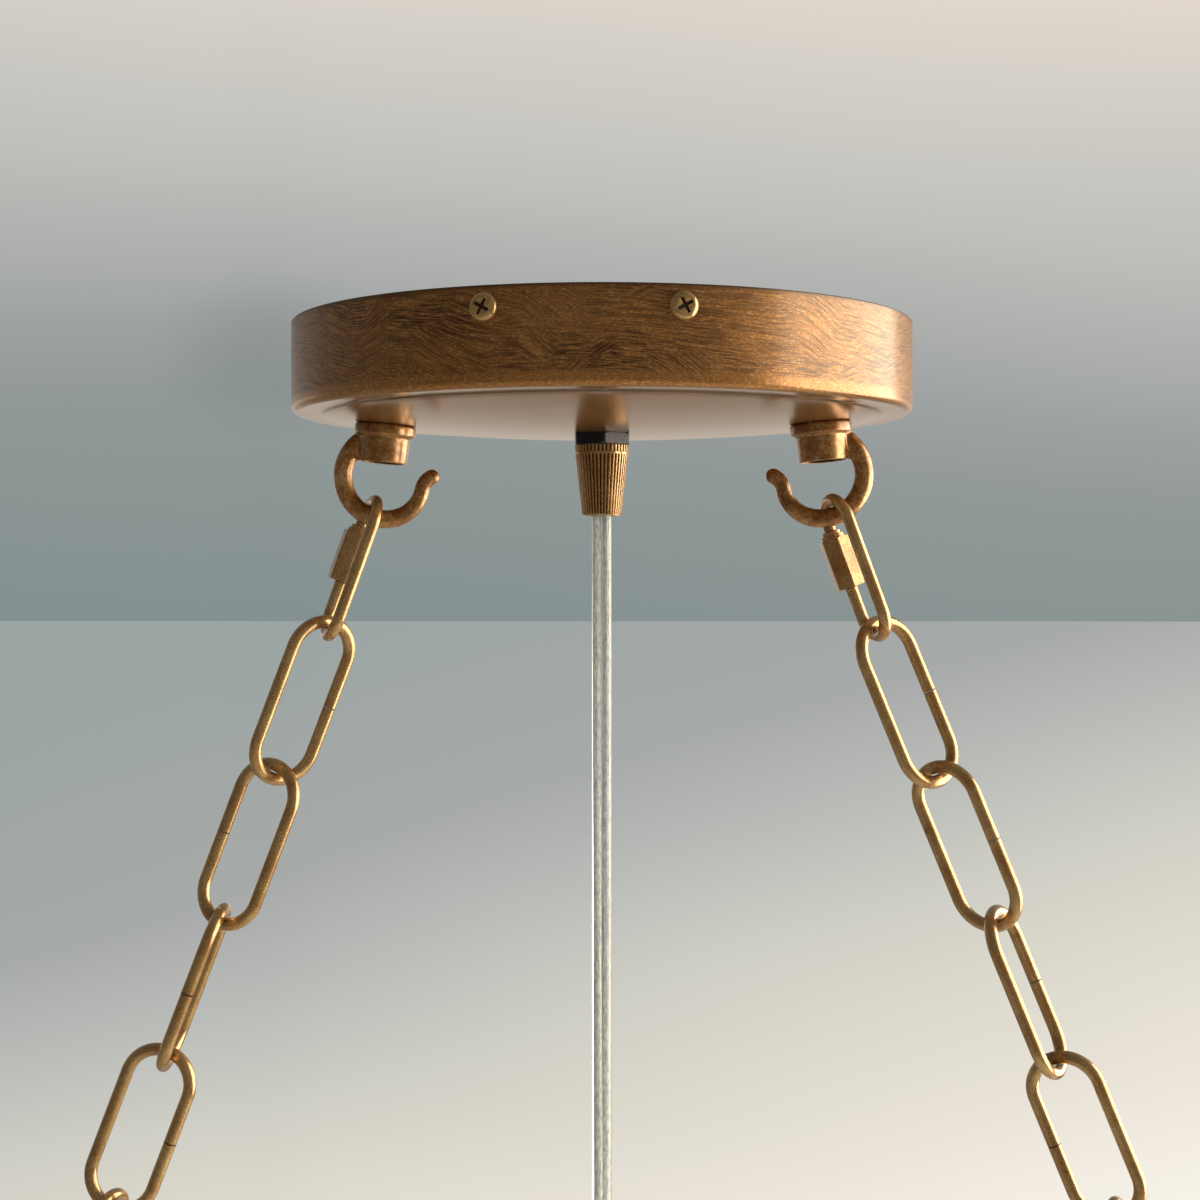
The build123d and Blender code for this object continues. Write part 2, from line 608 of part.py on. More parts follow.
def make_chain(side):
    end = side_name(side)
    upper, *links, lower = chain_layout(side)
    make_quick_link(upper, f"quick_link_{end}")
    make_sleeve(upper, SLEEVE_TURN[side], f"quick_link_sleeve_{end}")
    for number, (plane, seam_limb) in enumerate(zip(links, LINK_SEAM_LIMBS[side]), start=1):
        make_chain_link(plane, seam_limb, f"chain_link_{end}_{number}")
    make_quick_link(lower, f"lower_quick_link_{end}")
    make_sleeve(lower, SLEEVE_TURN[side], f"lower_quick_link_sleeve_{end}")


def rib_outline(radius, phase):
    """Closed outline of a ribbed turned part: flat crests, sharp grooves between them."""
    pitch = 360 / GRIP_RIBS
    half_crest = GRIP_RIB_CREST_SHARE * pitch / 2
    points = []
    for rib in range(GRIP_RIBS):
        middle = (rib + phase) * pitch
        for angle, depth in ((-half_crest, 0), (half_crest, 0), (pitch / 2, GRIP_RIB_DEPTH)):
            turn = math.radians(middle + angle)
            reach = radius - depth
            points.append((reach * math.cos(turn), reach * math.sin(turn)))
    return points


def make_grip_nut(plane, name):
    """Tapered nut of a cord grip. The plane's Z points down its taper, from its wide end."""
    ring_end = GRIP_BAND_HEIGHT + GRIP_RING_HEIGHT
    inner_end = GRIP_NUT_HEIGHT - GRIP_LIP_HEIGHT
    band = ((0, GRIP_NUT_TOP_RADIUS), (GRIP_BAND_HEIGHT, GRIP_NUT_BAND_RADIUS))
    taper = ((ring_end, GRIP_NUT_BAND_RADIUS), (GRIP_NUT_HEIGHT, GRIP_NUT_BOTTOM_RADIUS))
    with BuildPart() as nut:
        for sections, phase in ((band, 0.5), (taper, 0)):
            for height, radius in sections:
                with BuildSketch(plane.offset(height)):
                    with BuildLine():
                        Polyline(*rib_outline(radius, phase), close=True)
                    make_face()
            loft(ruled=True)
        with BuildSketch(plane.offset(GRIP_BAND_HEIGHT)):
            Circle(GRIP_NUT_BAND_RADIUS)
        extrude(amount=GRIP_RING_HEIGHT)
        with BuildSketch(plane):
            Circle(GRIP_BORE_RADIUS)
        extrude(amount=inner_end, mode=Mode.SUBTRACT)
        with BuildSketch(plane.offset(inner_end)):
            Circle(GRIP_LIP_RADIUS)
        extrude(amount=GRIP_LIP_HEIGHT, mode=Mode.SUBTRACT)
    save(nut.part, name)


def make_bush(plane, name):
    """Bush that squeezes the cable. The plane is the nut's, with Z down its taper."""
    far_end = GRIP_NUT_HEIGHT - BUSH_INSET
    with BuildPart() as bush:
        with BuildSketch(plane.offset(far_end - BUSH_HEIGHT)):
            Circle(BUSH_RADIUS)
            Circle(BUSH_BORE_RADIUS, mode=Mode.SUBTRACT)
        extrude(amount=BUSH_HEIGHT)
        mouth = bush.edges().filter_by(GeomType.CIRCLE).group_by(Axis(plane.origin, plane.z_dir))[-1]
        chamfer(mouth.sort_by(SortBy.RADIUS)[0], BUSH_MOUTH_CHAMFER)
    save(bush.part, name)


def make_collar(plane, name):
    """Hexagonal moulded collar between a cord grip's nut and what it seats on."""
    with BuildPart() as collar:
        with BuildSketch(plane):
            RegularPolygon(COLLAR_ACROSS_FLATS / 2, HEXAGON_SIDES, major_radius=False, rotation=COLLAR_TURN)
            Circle(NUT_BORE_RADIUS, mode=Mode.SUBTRACT)
        extrude(amount=COLLAR_HEIGHT)
        chamfer(collar.edges().filter_by(GeomType.LINE).filter_by(Plane.XY), COLLAR_CHAMFER)
    save(collar.part, name)


def make_upper_grip():
    down = Plane(origin=(0, 0, COLLAR_BOTTOM), x_dir=(1, 0, 0), z_dir=(0, 0, -1))
    inner_face = -DOME_LOWEST + CANOPY_SHEET + SEAT_GAP
    tube_low = COLLAR_BOTTOM - GRIP_TUBE_INSERTION
    tube_high = inner_face + GRIP_TUBE_RISE
    make_collar(Plane.XY.offset(COLLAR_BOTTOM), "grip_collar")
    make_grip_nut(down, "grip_nut")
    make_bush(down, "grip_bush")
    make_tube(Plane.XY, tube_low, tube_high, GRIP_TUBE_BORE_RADIUS, "grip_tube")
    make_nut(Plane.XY, inner_face, LOCK_NUT_HEIGHT, "grip_lock_nut")


def make_lower_grip():
    """The same grip the other way up, at the lamp body's end of the cable."""
    wide_end = CABLE_LOWER_GRIP_TOP - GRIP_NUT_HEIGHT
    up = Plane(origin=(0, 0, wide_end), x_dir=(1, 0, 0), z_dir=(0, 0, 1))
    collar_bottom = wide_end - COLLAR_HEIGHT
    tube_high = wide_end + GRIP_TUBE_INSERTION
    make_collar(Plane.XY.offset(collar_bottom), "lower_grip_collar")
    make_grip_nut(up, "lower_grip_nut")
    make_bush(up, "lower_grip_bush")
    tube_low = tube_high - LOWER_TUBE_LENGTH
    make_tube(Plane.XY, tube_low, tube_high, GRIP_TUBE_BORE_RADIUS, "lower_grip_tube")


def make_cable(low, high, name):
    with BuildPart() as cable:
        with BuildSketch(Plane.XY.offset(low)):
            Circle(CABLE_RADIUS)
        extrude(amount=high - low)
    save(cable.part, name)


def lead_radii(points):
    """Bend radii of a lead: as large as the two runs at each corner allow."""
    radii = []
    for before, corner, after in zip(points, points[1:], points[2:]):
        run_in = Vector(corner) - Vector(before)
        run_out = Vector(after) - Vector(corner)
        half_turn = math.radians(run_in.get_angle(run_out)) / 2
        shorter = min(run_in.length, run_out.length)
        radii.append(LEAD_BEND_SHARE * shorter / math.tan(half_turn))
    return radii


def make_lead(points, name):
    radii = lead_radii(points)
    print(name, "bend radii:", [round(radius, 1) for radius in radii])
    with BuildPart() as lead:
        with BuildLine():
            FilletPolyline(*points, radius=radii)
        with BuildSketch(Plane(origin=points[0], z_dir=Vector(points[1]) - Vector(points[0]))):
            Circle(LEAD_RADIUS)
        sweep()
    save(lead.part, name)


def make_core_lead(core_y, rise, bend, way_y, name):
    """Lead from one core at the cable's upper end to its way in the block."""
    wire_height = -BRACKET_SHEET - BLOCK_WIRE_DROP
    bend_x, bend_y, bend_lift = bend
    make_lead(
        (
            (0, core_y, CABLE_UPPER_END),
            (0, core_y, CABLE_UPPER_END + rise),
            (bend_x, bend_y, wire_height + bend_lift),
            (BLOCK_CENTRE_X + BLOCK_WIDTH / 2, way_y, wire_height),
        ),
        name,
    )


def make_earth_lead():
    """Lead from the ring under the earth screw to the block's last way."""
    earth_x, earth_y = EARTH_SCREW_POSITION
    ring_height = -BRACKET_SHEET - EARTH_RING_HEIGHT / 2 - EARTH_LEAD_DROP
    route = [(earth_x + x, earth_y + y, ring_height + z) for x, y, z in EARTH_LEAD_ROUTE]
    wire_height = -BRACKET_SHEET - BLOCK_WIRE_DROP
    route.append((BLOCK_CENTRE_X + BLOCK_WIDTH / 2, -BLOCK_PITCH, wire_height))
    make_lead(route, "earth_lead")


def make_terminal_block():
    """Three-way moulded block under the bracket, with its wire holes along X."""
    base = -BRACKET_SHEET
    wire_height = base - BLOCK_WIRE_DROP
    with BuildPart() as block:
        with BuildSketch(Plane.XY.offset(base)):
            with Locations((BLOCK_CENTRE_X, 0)):
                Rectangle(BLOCK_WIDTH, BLOCK_LENGTH)
        extrude(amount=-BLOCK_BASE_HEIGHT)
        block_end = Plane(
            origin=(BLOCK_CENTRE_X - BLOCK_WIDTH / 2, 0, wire_height), x_dir=(0, 1, 0), z_dir=(1, 0, 0)
        )
        with BuildSketch(block_end):
            with GridLocations(BLOCK_PITCH, 0, BLOCK_WAYS, 1):
                Circle(BLOCK_BARREL_RADIUS)
        extrude(amount=BLOCK_WIDTH)
        with BuildSketch(block_end):
            with GridLocations(BLOCK_PITCH, 0, BLOCK_WAYS, 1):
                Circle(BLOCK_WIRE_HOLE_RADIUS)
        extrude(amount=BLOCK_WIDTH, mode=Mode.SUBTRACT)
        # clamp screw wells, open downwards
        with BuildSketch(Plane.XY.offset(base - BLOCK_HEIGHT)):
            with Locations((BLOCK_CENTRE_X, 0)):
                with GridLocations(0, BLOCK_PITCH, 1, BLOCK_WAYS):
                    Circle(BLOCK_SCREW_RADIUS)
        extrude(amount=BLOCK_HEIGHT - BLOCK_WIRE_DROP, mode=Mode.SUBTRACT)
        with BuildSketch(Plane.XY.offset(base)):
            with Locations((BLOCK_CENTRE_X, BLOCK_PITCH / 2)):
                Circle(BLOCK_FIXING_RADIUS)
        extrude(amount=-BLOCK_BASE_HEIGHT, mode=Mode.SUBTRACT)
    save(block.part, "terminal_block")


def make_terminal_screws():
    """The block's three clamp screws, as one group."""
    low = -BRACKET_SHEET - BLOCK_HEIGHT + SCREW_END_GAP
    with BuildPart() as screws:
        with BuildSketch(Plane.XY.offset(low)):
            with Locations((BLOCK_CENTRE_X, 0)):
                with GridLocations(0, BLOCK_PITCH, 1, BLOCK_WAYS):
                    Circle(BLOCK_SCREW_RADIUS - SCREW_GAP)
        extrude(amount=BLOCK_SCREW_LENGTH)
        with BuildSketch(Plane.XY.offset(low)):
            with Locations((BLOCK_CENTRE_X, 0)):
                with GridLocations(0, BLOCK_PITCH, 1, BLOCK_WAYS):
                    Rectangle(2 * BLOCK_SCREW_RADIUS, SLOT_WIDTH / 2)
        extrude(amount=SLOT_DEPTH / 2, mode=Mode.SUBTRACT)
    save(screws.part, "terminal_screws")


def make_block_screw():
    """Screw that holds the terminal block to the bracket, between two of its ways."""
    head_face = -BRACKET_SHEET - BLOCK_BASE_HEIGHT
    with BuildPart() as screw:
        with BuildSketch(Plane.XY.offset(head_face)):
            with Locations((BLOCK_CENTRE_X, BLOCK_PITCH / 2)):
                Circle(BLOCK_FIXING_RADIUS - SCREW_GAP)
        extrude(amount=-head_face - SCREW_END_GAP)
    save(screw.part, "terminal_block_screw")


def make_earth_hardware():
    ring_low = -BRACKET_SHEET - EARTH_RING_HEIGHT
    with BuildPart() as ring:
        with BuildSketch(Plane.XY.offset(ring_low)):
            with Locations(EARTH_SCREW_POSITION):
                Circle(EARTH_RING_RADIUS)
                Circle(BRACKET_TAP_RADIUS, mode=Mode.SUBTRACT)
        extrude(amount=EARTH_RING_HEIGHT)
    save(ring.part, "earth_ring_terminal")

    with BuildPart() as screw:
        with BuildSketch(Plane.XY.offset(ring_low)):
            with Locations(EARTH_SCREW_POSITION):
                Circle(EARTH_HEAD_RADIUS)
        extrude(amount=-EARTH_HEAD_HEIGHT)
        with BuildSketch(Plane.XY.offset(ring_low)):
            with Locations(EARTH_SCREW_POSITION):
                Circle(EARTH_SCREW_RADIUS)
        extrude(amount=-ring_low - SCREW_END_GAP)
        with BuildSketch(Plane.XY.offset(ring_low - EARTH_HEAD_HEIGHT)):
            with Locations(EARTH_SCREW_POSITION):
                Rectangle(2 * EARTH_HEAD_RADIUS, SLOT_WIDTH)
        extrude(amount=SLOT_DEPTH, mode=Mode.SUBTRACT)
    save(screw.part, "earth_screw")


def main():
    os.makedirs("parts", exist_ok=True)
    make_canopy()
    make_bracket()
    for facing, face_name in ((FRONT, "front"), (REAR, "rear")):
        for turn, end in ((-SCREW_HALF_ANGLE, "left"), (SCREW_HALF_ANGLE, "right")):
            make_canopy_screw(facing, turn, f"canopy_screw_{face_name}_{end}")
    for side in (LEFT, RIGHT):
        make_hook(side)
        make_hook_hardware(side)
        make_chain(side)
    make_upper_grip()
    make_lower_grip()
    make_cable(GRIP_NUT_BOTTOM, CABLE_UPPER_END, "cable_upper_end")
    make_cable(CABLE_LOWER_END, GRIP_NUT_BOTTOM, "cable")
    make_terminal_block()
    make_terminal_screws()
    make_block_screw()
    make_core_lead(CORE_OFFSET, LIVE_LEAD_RISE, LIVE_LEAD_BEND, BLOCK_PITCH, "live_lead")
    make_core_lead(-CORE_OFFSET, NEUTRAL_LEAD_RISE, NEUTRAL_LEAD_BEND, 0, "neutral_lead")
    make_earth_lead()
    make_earth_hardware()


main()
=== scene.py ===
import math

import bmesh
import bpy
from bpy.props import FloatProperty, FloatVectorProperty, IntProperty, PointerProperty
from mathutils import Matrix, Vector


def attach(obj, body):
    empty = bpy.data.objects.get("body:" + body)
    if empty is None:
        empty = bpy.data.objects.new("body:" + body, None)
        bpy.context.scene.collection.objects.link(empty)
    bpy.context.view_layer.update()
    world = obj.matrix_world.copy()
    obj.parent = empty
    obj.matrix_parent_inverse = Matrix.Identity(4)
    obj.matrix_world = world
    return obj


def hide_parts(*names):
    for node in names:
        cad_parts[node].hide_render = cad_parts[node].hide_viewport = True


bl_info = {
    "name": "Chandelier Suspension",
    "version": (1, 0, 0),
    "blender": (4, 5, 0),
    "location": "View3D > Sidebar > Chandelier",
    "description": "Canopy, hooks, chains and clear cable that a rectangular chandelier hangs from",
    "category": "Object",
}

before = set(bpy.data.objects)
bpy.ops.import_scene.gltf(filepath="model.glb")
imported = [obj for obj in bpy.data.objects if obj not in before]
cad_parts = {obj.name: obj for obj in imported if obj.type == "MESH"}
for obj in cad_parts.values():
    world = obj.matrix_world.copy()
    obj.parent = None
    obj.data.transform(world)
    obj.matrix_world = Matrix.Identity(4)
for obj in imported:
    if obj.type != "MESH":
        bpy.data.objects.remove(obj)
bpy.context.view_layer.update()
MM = 0.001
ROOT = "canopy_assembly"
SIDES = {"left": -1, "right": 1}
HERE = Matrix.Identity(4)

# Sizes shared with the CAD source, in millimetres
CANOPY_RADIUS = 90.0
CANOPY_WALL_HEIGHT = 26.0
CANOPY_CORNER_RADIUS = 2.0
CANOPY_SHEET = 1.2
BAND_INNER_RADIUS = 81.5
STEP_WIDTH = 0.8
STEP_DEPTH = 0.5
DOME_LOWEST = 31.0
DOME_EDGE_RADIUS = BAND_INNER_RADIUS - STEP_WIDTH
DOME_EDGE_DROP = CANOPY_WALL_HEIGHT + STEP_DEPTH
DOME_RISE = DOME_LOWEST - DOME_EDGE_DROP
DOME_SPHERE_RADIUS = (DOME_EDGE_RADIUS**2 + DOME_RISE**2) / (2 * DOME_RISE)
SCREW_ANGLE = 16.2
SCREW_DROP = 5.7
HOOK_OFFSET = 63.7
HOOK_LEAN = math.asin(HOOK_OFFSET / DOME_SPHERE_RADIUS)
HUB_HEIGHT = 11.2
HOOK_RING_RADIUS = 12.65
HOOK_RING_INSET = 1.3
HOOK_RING_DROP = 15.0
HOOK_WIRE_RADIUS = 2.7
HOOK_TUBE_RISE = 10.0
HOOK_TUBE_DROP = 8.8
HOOK_TUBE_BORE = 3.5
QUICK_LINK_LENGTH = 45.6
QUICK_LINK_LIMB_SPACING = 14.2
QUICK_LINK_WIRE_RADIUS = 1.825
QUICK_LINK_THREAD_RADIUS = 2.0
QUICK_LINK_MOUTH = (4.0, 9.2)
QUICK_LINK_THREAD = (-6.0, 12.9)
QUICK_LINK_TILT = 20.0
QUICK_LINK_TURN = 68.0
HOOK_CONTACT_ANGLE = 22.0
GAP_BETWEEN_LINKS = 0.25
LINK_LENGTH = 53.2
LINK_WIDTH = 24.0
LINK_WIRE_RADIUS = 1.9
LINK_SEAM_GAP = 0.25
CHAIN_TILT = {"left": 20.9, "right": 22.2}
LINK_TURNS = {"left": (-46.0, 27.0, -93.0, 8.0), "right": (-41.0, 42.0, -65.0, 26.0)}
LINK_SEAM_LIMBS = {"left": (1, -1, -1, 1), "right": (1, 1, 1, -1)}
LOWER_QUICK_LINK_TURN = {"left": -72.0, "right": -71.0}
SLEEVE_ACROSS_FLATS = 8.0
SLEEVE_LOW = -5.0
SLEEVE_HIGH = 10.2
SLEEVE_CORNER_CUT = 0.45
SLEEVE_COLLAR_RADIUS = 3.45
SLEEVE_NECK_RADIUS = 2.8
SLEEVE_COLLAR_HEIGHT = 1.1
SLEEVE_BORE_RADIUS = 2.07
SLEEVE_TURN = {"left": 1.0, "right": -12.5}
TUBE_RADIUS = 4.95
NUT_ACROSS_FLATS = 14.0
NUT_HEIGHT = 3.4
NUT_CHAMFER = 0.5
NUT_BORE_RADIUS = 5.0
NUT_LOW = 2.3
LOCK_NUT_LOW = -29.7
LOCK_NUT_HEIGHT = 3.0
COLLAR_ACROSS_FLATS = 15.6
COLLAR_HEIGHT = 3.2
COLLAR_TURN = 36.0
COLLAR_BOTTOM = -34.25
GRIP_NUT_HEIGHT = 20.8
GRIP_NUT_TOP_RADIUS = 7.95
GRIP_NUT_BAND_RADIUS = 7.8
GRIP_NUT_BOTTOM_RADIUS = 5.75
GRIP_BAND_HEIGHT = 2.3
GRIP_RING_HEIGHT = 0.6
GRIP_BORE_RADIUS = 5.05
GRIP_LIP_RADIUS = 4.7
GRIP_LIP_HEIGHT = 0.8
GRIP_TUBE_BORE = 3.1
GRIP_TUBE = (-45.25, -23.2)
CABLE_RADIUS = 2.85
CABLE_LOWER_END = -292.0
LOWER_WIDE_END = -290.8
LOWER_TUBE = (LOWER_WIDE_END - 9.0, LOWER_WIDE_END + 11.0)

# Sizes of what only the eye gets, in millimetres
RIM_CHAMFER = 0.25
# Round recesses in the screw heads and under the hubs, darkened with painted shade
SCREW_RECESS_RADIUS = 2.3
SCREW_RECESS_HEIGHTS = (0.6, 2.05)
HUB_RECESS_RADIUS = 6.7
HUB_LIP = 0.3
HOOK_VOXEL = 0.24
LINK_END_SHARE = 0.86
STRANDS_IN_CORE = 9
STRAND_RADIUS = 0.3
STRAND_LAY = 9.0
CORE_OFFSET = CABLE_RADIUS * 0.4
WALL_SHADING_FROM = (88.2, 89.4)
# Radius of the dark line of painted shade at the dome's step
STEP_SHADING_RADIUS = 81.0
# Depth, flat share of the crest, and distance from the ends at which a thread stops
TUBE_THREAD = (0.5, 0.15, 0.3)
QUICK_LINK_END_THREAD = (0.3, 0.1, 0.2)

# How finely round shapes are divided
CANOPY_SEGMENTS = 256
HEXAGON_SEGMENTS = 144
TUBE_SEGMENTS = 48
THREADED_END_SEGMENTS = 32
SEGMENTS_PER_RIB = 10
WIRE_SIDES = 28
BEND_STEPS = 40

# Camera as in the photo, and the stage round it, in metres and degrees
CAMERA_PLACE = (0.0329, -0.6193, -0.07966)
CAMERA_TURN = 3.04
CAMERA_LENS = 63.54
CAMERA_SHIFT = -0.00153
STAGE_HALF_WIDTH = 3.0
BACKDROP_DISTANCE = 1.8
BACKDROP_TOP = 1.6
FLOOR_HEIGHT = -1.2
HORIZON = -0.104


def hex_colour(text):
    """sRGB hex, as a colour picker shows it, to the linear values that shaders use."""
    channels = [int(text[place : place + 2], 16) / 255 for place in (1, 3, 5)]
    return [c / 12.92 if c <= 0.04045 else ((c + 0.055) / 1.055) ** 2.4 for c in channels]


def rgba(colour):
    """The four values a shader takes, from a hex text or three linear values."""
    return (*(hex_colour(colour) if isinstance(colour, str) else colour), 1)


def colour_property(name, description, text):
    return FloatVectorProperty(
        name=name, description=description, subtype="COLOR", min=0, max=1, default=hex_colour(text)
    )


def length_property(name, description, value, low, high):
    """Length that can be set in the panel. The three sizes are in millimetres."""
    return FloatProperty(
        name=name,
        description=description,
        default=value * MM,
        min=low * MM,
        max=high * MM,
        subtype="DISTANCE",
        unit="LENGTH",
    )


class SuspensionSizes(bpy.types.PropertyGroup):
    ribs: IntProperty(
        name="Grip ribs", description="Ribs round the cord grip's nut", default=42, min=12, max=80
    )
    rib_depth: length_property("Rib depth", "Depth of the grooves between the ribs", 0.5, 0.05, 1.0)
    thread_pitch: length_property("Tube thread pitch", "Pitch of the threaded tubes", 1.0, 0.5, 2.0)
    link_thread_pitch: length_property(
        "Quick link thread pitch", "Pitch of the quick links' threaded ends", 0.8, 0.4, 1.5
    )
    core_radius: length_property(
        "Conductor radius", "Radius of each conductor inside the clear jacket", 1.05, 0.4, 1.3
    )
    cable_twist: FloatProperty(
        name="Cable twist",
        description="How far the two conductors turn about each other over the cable's length",
        default=math.radians(60),
        subtype="ANGLE",
    )


class SuspensionColours(bpy.types.PropertyGroup):
    # Brown glaze, and also the colour of the painted shade in recesses, along the canopy's top rim
    # and at the dome's step
    glaze_and_shade: colour_property("Glaze", "Brown glaze left in hollows and strokes", "#3a220f")
    gold_mid: colour_property("Antique gold", "Main colour of the antique gold", "#96632b")
    gold_light: colour_property("Rubbed gold", "Gold where the glaze is wiped thin", "#c6a26a")
    collar: colour_property("Collar", "Moulded collar of the cord grip", "#0d0e11")
    tinned_copper: colour_property("Tinned copper", "Conductors in the cable", "#eff2f1")
    backdrop_upper: colour_property("Backdrop, upper", "Backdrop above the horizon", "#859191")
    backdrop_lower: colour_property("Backdrop, lower", "Backdrop below the horizon", "#9ba5a3")


# Placing


def dome_height(radius):
    return DOME_SPHERE_RADIUS - DOME_LOWEST - math.sqrt(DOME_SPHERE_RADIUS**2 - radius**2)


def placement(origin, x_axis, z_axis):
    """Matrix that puts a piece made in metres in its place. The origin is in millimetres."""
    turn = Matrix((x_axis, z_axis.cross(x_axis), z_axis)).transposed().to_4x4()
    return Matrix.Translation(Vector(origin) * MM) @ turn


def hook_axes(side):
    """Seat of a hook on the dome, the direction outwards along it and the direction up its hub."""
    sign = SIDES[side]
    seat = Vector((sign * HOOK_OFFSET, 0, dome_height(HOOK_OFFSET)))
    outwards = Vector((sign * math.cos(HOOK_LEAN), 0, math.sin(HOOK_LEAN)))
    upwards = Vector((-sign * math.sin(HOOK_LEAN), 0, math.cos(HOOK_LEAN)))
    return seat, outwards, upwards


def hub_placement(side):
    return placement(*hook_axes(side))


def hang_direction(sign, tilt):
    return Vector((sign * math.sin(math.radians(tilt)), 0, -math.cos(math.radians(tilt))))


def loop_placement(sign, tilt, turn, centre):
    """Frame of a wire loop: X across its limbs, Z up it."""
    along = Vector((math.cos(math.radians(tilt)), 0, sign * math.sin(math.radians(tilt))))
    turned = math.radians(turn)
    across = along * math.cos(turned) + Vector((0, -1, 0)) * math.sin(turned)
    return placement(centre, across, -hang_direction(sign, tilt))


def chain_layout(side):
    """Place of every loop on one side, from the hook down: quick link, chain links, quick link."""
    sign, tilt = SIDES[side], CHAIN_TILT[side]
    down = hang_direction(sign, tilt)
    quick_half = QUICK_LINK_LENGTH / 2 - QUICK_LINK_WIRE_RADIUS
    link_half = LINK_LENGTH / 2 - LINK_WIRE_RADIUS
    seat, outwards, upwards = hook_axes(side)
    ring = seat - outwards * HOOK_RING_INSET - upwards * HOOK_RING_DROP
    clearance = HOOK_WIRE_RADIUS + QUICK_LINK_WIRE_RADIUS + GAP_BETWEEN_LINKS
    top = ring + hang_direction(sign, HOOK_CONTACT_ANGLE) * (HOOK_RING_RADIUS - clearance)
    quick_down = hang_direction(sign, QUICK_LINK_TILT)
    places = [loop_placement(sign, QUICK_LINK_TILT, QUICK_LINK_TURN, top + quick_down * quick_half)]
    bottom = top + quick_down * (2 * quick_half)
    end_overlap = QUICK_LINK_WIRE_RADIUS + LINK_WIRE_RADIUS + GAP_BETWEEN_LINKS
    overlap = end_overlap
    for turn in LINK_TURNS[side]:
        top = bottom - down * overlap
        places.append(loop_placement(sign, tilt, turn, top + down * link_half))
        bottom = top + down * (2 * link_half)
        overlap = 2 * LINK_WIRE_RADIUS + GAP_BETWEEN_LINKS
    centre = bottom + down * (quick_half - end_overlap)
    places.append(loop_placement(sign, tilt, LOWER_QUICK_LINK_TURN[side], centre))
    return places


# Nodes, shared by materials and geometry trees


class Value:
    """What a node gives out. Sums, products and comparisons of it add the math nodes for them."""

    def __init__(self, tree, socket):
        self.tree, self.socket = tree, socket

    def __add__(self, other):
        return number("ADD", self, other)

    def __sub__(self, other):
        return number("SUBTRACT", self, other)

    def __mul__(self, other):
        return number("MULTIPLY", self, other)

    def __truediv__(self, other):
        return number("DIVIDE", self, other)

    def __gt__(self, other):
        return number("GREATER_THAN", self, other)

    def __lt__(self, other):
        return number("LESS_THAN", self, other)


def add_node(tree, kind, inputs=None, **settings):
    """Add a node, apply its settings, then set each input to a value or link a Value to it."""
    node = tree.nodes.new(kind)
    for name, value in settings.items():
        setattr(node, name, value)
    for key, value in (inputs or {}).items():
        if isinstance(value, Value):
            tree.links.new(value.socket, node.inputs[key])
        else:
            node.inputs[key].default_value = value
    return node


def output(tree, kind, inputs=None, socket=0, **settings):
    """Add a node and give one of its outputs."""
    return Value(tree, add_node(tree, kind, inputs, **settings).outputs[socket])


def number(operation, first, second=0.0):
    return output(first.tree, "ShaderNodeMath", {0: first, 1: second}, operation=operation)


def spread(value, low, high, to_low=0.0, to_high=1.0, easing="LINEAR"):
    ends = {"From Min": low, "From Max": high, "To Min": to_low, "To Max": to_high}
    inputs = {"Value": value, **ends}
    return output(value.tree, "ShaderNodeMapRange", inputs, interpolation_type=easing)


def parts_of(vector):
    """X, Y and Z of a vector."""
    node = add_node(vector.tree, "ShaderNodeSeparateXYZ", {0: vector})
    return [Value(vector.tree, socket) for socket in node.outputs]


def combined(tree, x, y, z=0.0):
    return output(tree, "ShaderNodeCombineXYZ", {0: x, 1: y, 2: z})


def stretched(position, scale):
    return output(position.tree, "ShaderNodeMapping", {"Vector": position, "Scale": scale})


def noise(position, size, detail=3.0, roughness=0.55):
    """Cloudy values from 0 to 1. Size is that of the largest clouds, in millimetres."""
    inputs = {"Vector": position, "Scale": 1 / (size * MM), "Detail": detail}
    inputs["Roughness"] = roughness
    return output(position.tree, "ShaderNodeTexNoise", inputs, "Fac")


def ramp(factor, *stops):
    """Colour ramp. Stops are (place, colour)."""
    node = add_node(factor.tree, "ShaderNodeValToRGB", {"Fac": factor})
    elements = node.color_ramp.elements
    while len(elements) < len(stops):
        elements.new(0.5)
    for element, (place, colour) in zip(elements, stops):
        element.position = place
        element.color = rgba(colour)
    return Value(factor.tree, node.outputs["Color"])


def mixed_values(factor, first, second):
    return output(factor.tree, "ShaderNodeMix", {0: factor, 2: first, 3: second})


def mixed_colours(factor, first, second):
    inputs = {0: factor, 6: first, 7: second}
    for key in (6, 7):
        if not isinstance(inputs[key], Value):
            inputs[key] = rgba(inputs[key])
    return output(factor.tree, "ShaderNodeMix", inputs, 2, data_type="RGBA")


def mixed_shaders(factor, first, second):
    return output(factor.tree, "ShaderNodeMixShader", {0: factor, 1: first, 2: second})


def bumped(height, strength, distance):
    """Normal bumped by a height. Distance is in millimetres."""
    inputs = {"Height": height, "Strength": strength, "Distance": distance * MM}
    return output(height.tree, "ShaderNodeBump", inputs)


def ray(tree, kind):
    return output(tree, "ShaderNodeLightPath", socket=f"Is {kind} Ray")


def glow(colour, strength=1.0):
    inputs = {"Color": colour, "Strength": strength}
    return output(colour.tree, "ShaderNodeEmission", inputs)


# Materials


def new_material(name):
    """Empty material, and the object coordinates in it."""
    material = bpy.data.materials.new(name)
    material.use_nodes = True
    material.node_tree.nodes.clear()
    return material, output(material.node_tree, "ShaderNodeTexCoord", socket="Object")


def surfaced(material, shader):
    add_node(material.node_tree, "ShaderNodeOutputMaterial", {"Surface": shader})
    return material


def principled(material, inputs):
    return surfaced(material, output(material.node_tree, "ShaderNodeBsdfPrincipled", inputs))


def material_once(make, name, *values):
    """A material that several pieces share is made by the first that asks for it."""
    return bpy.data.materials.get(name) or make(name, *values)


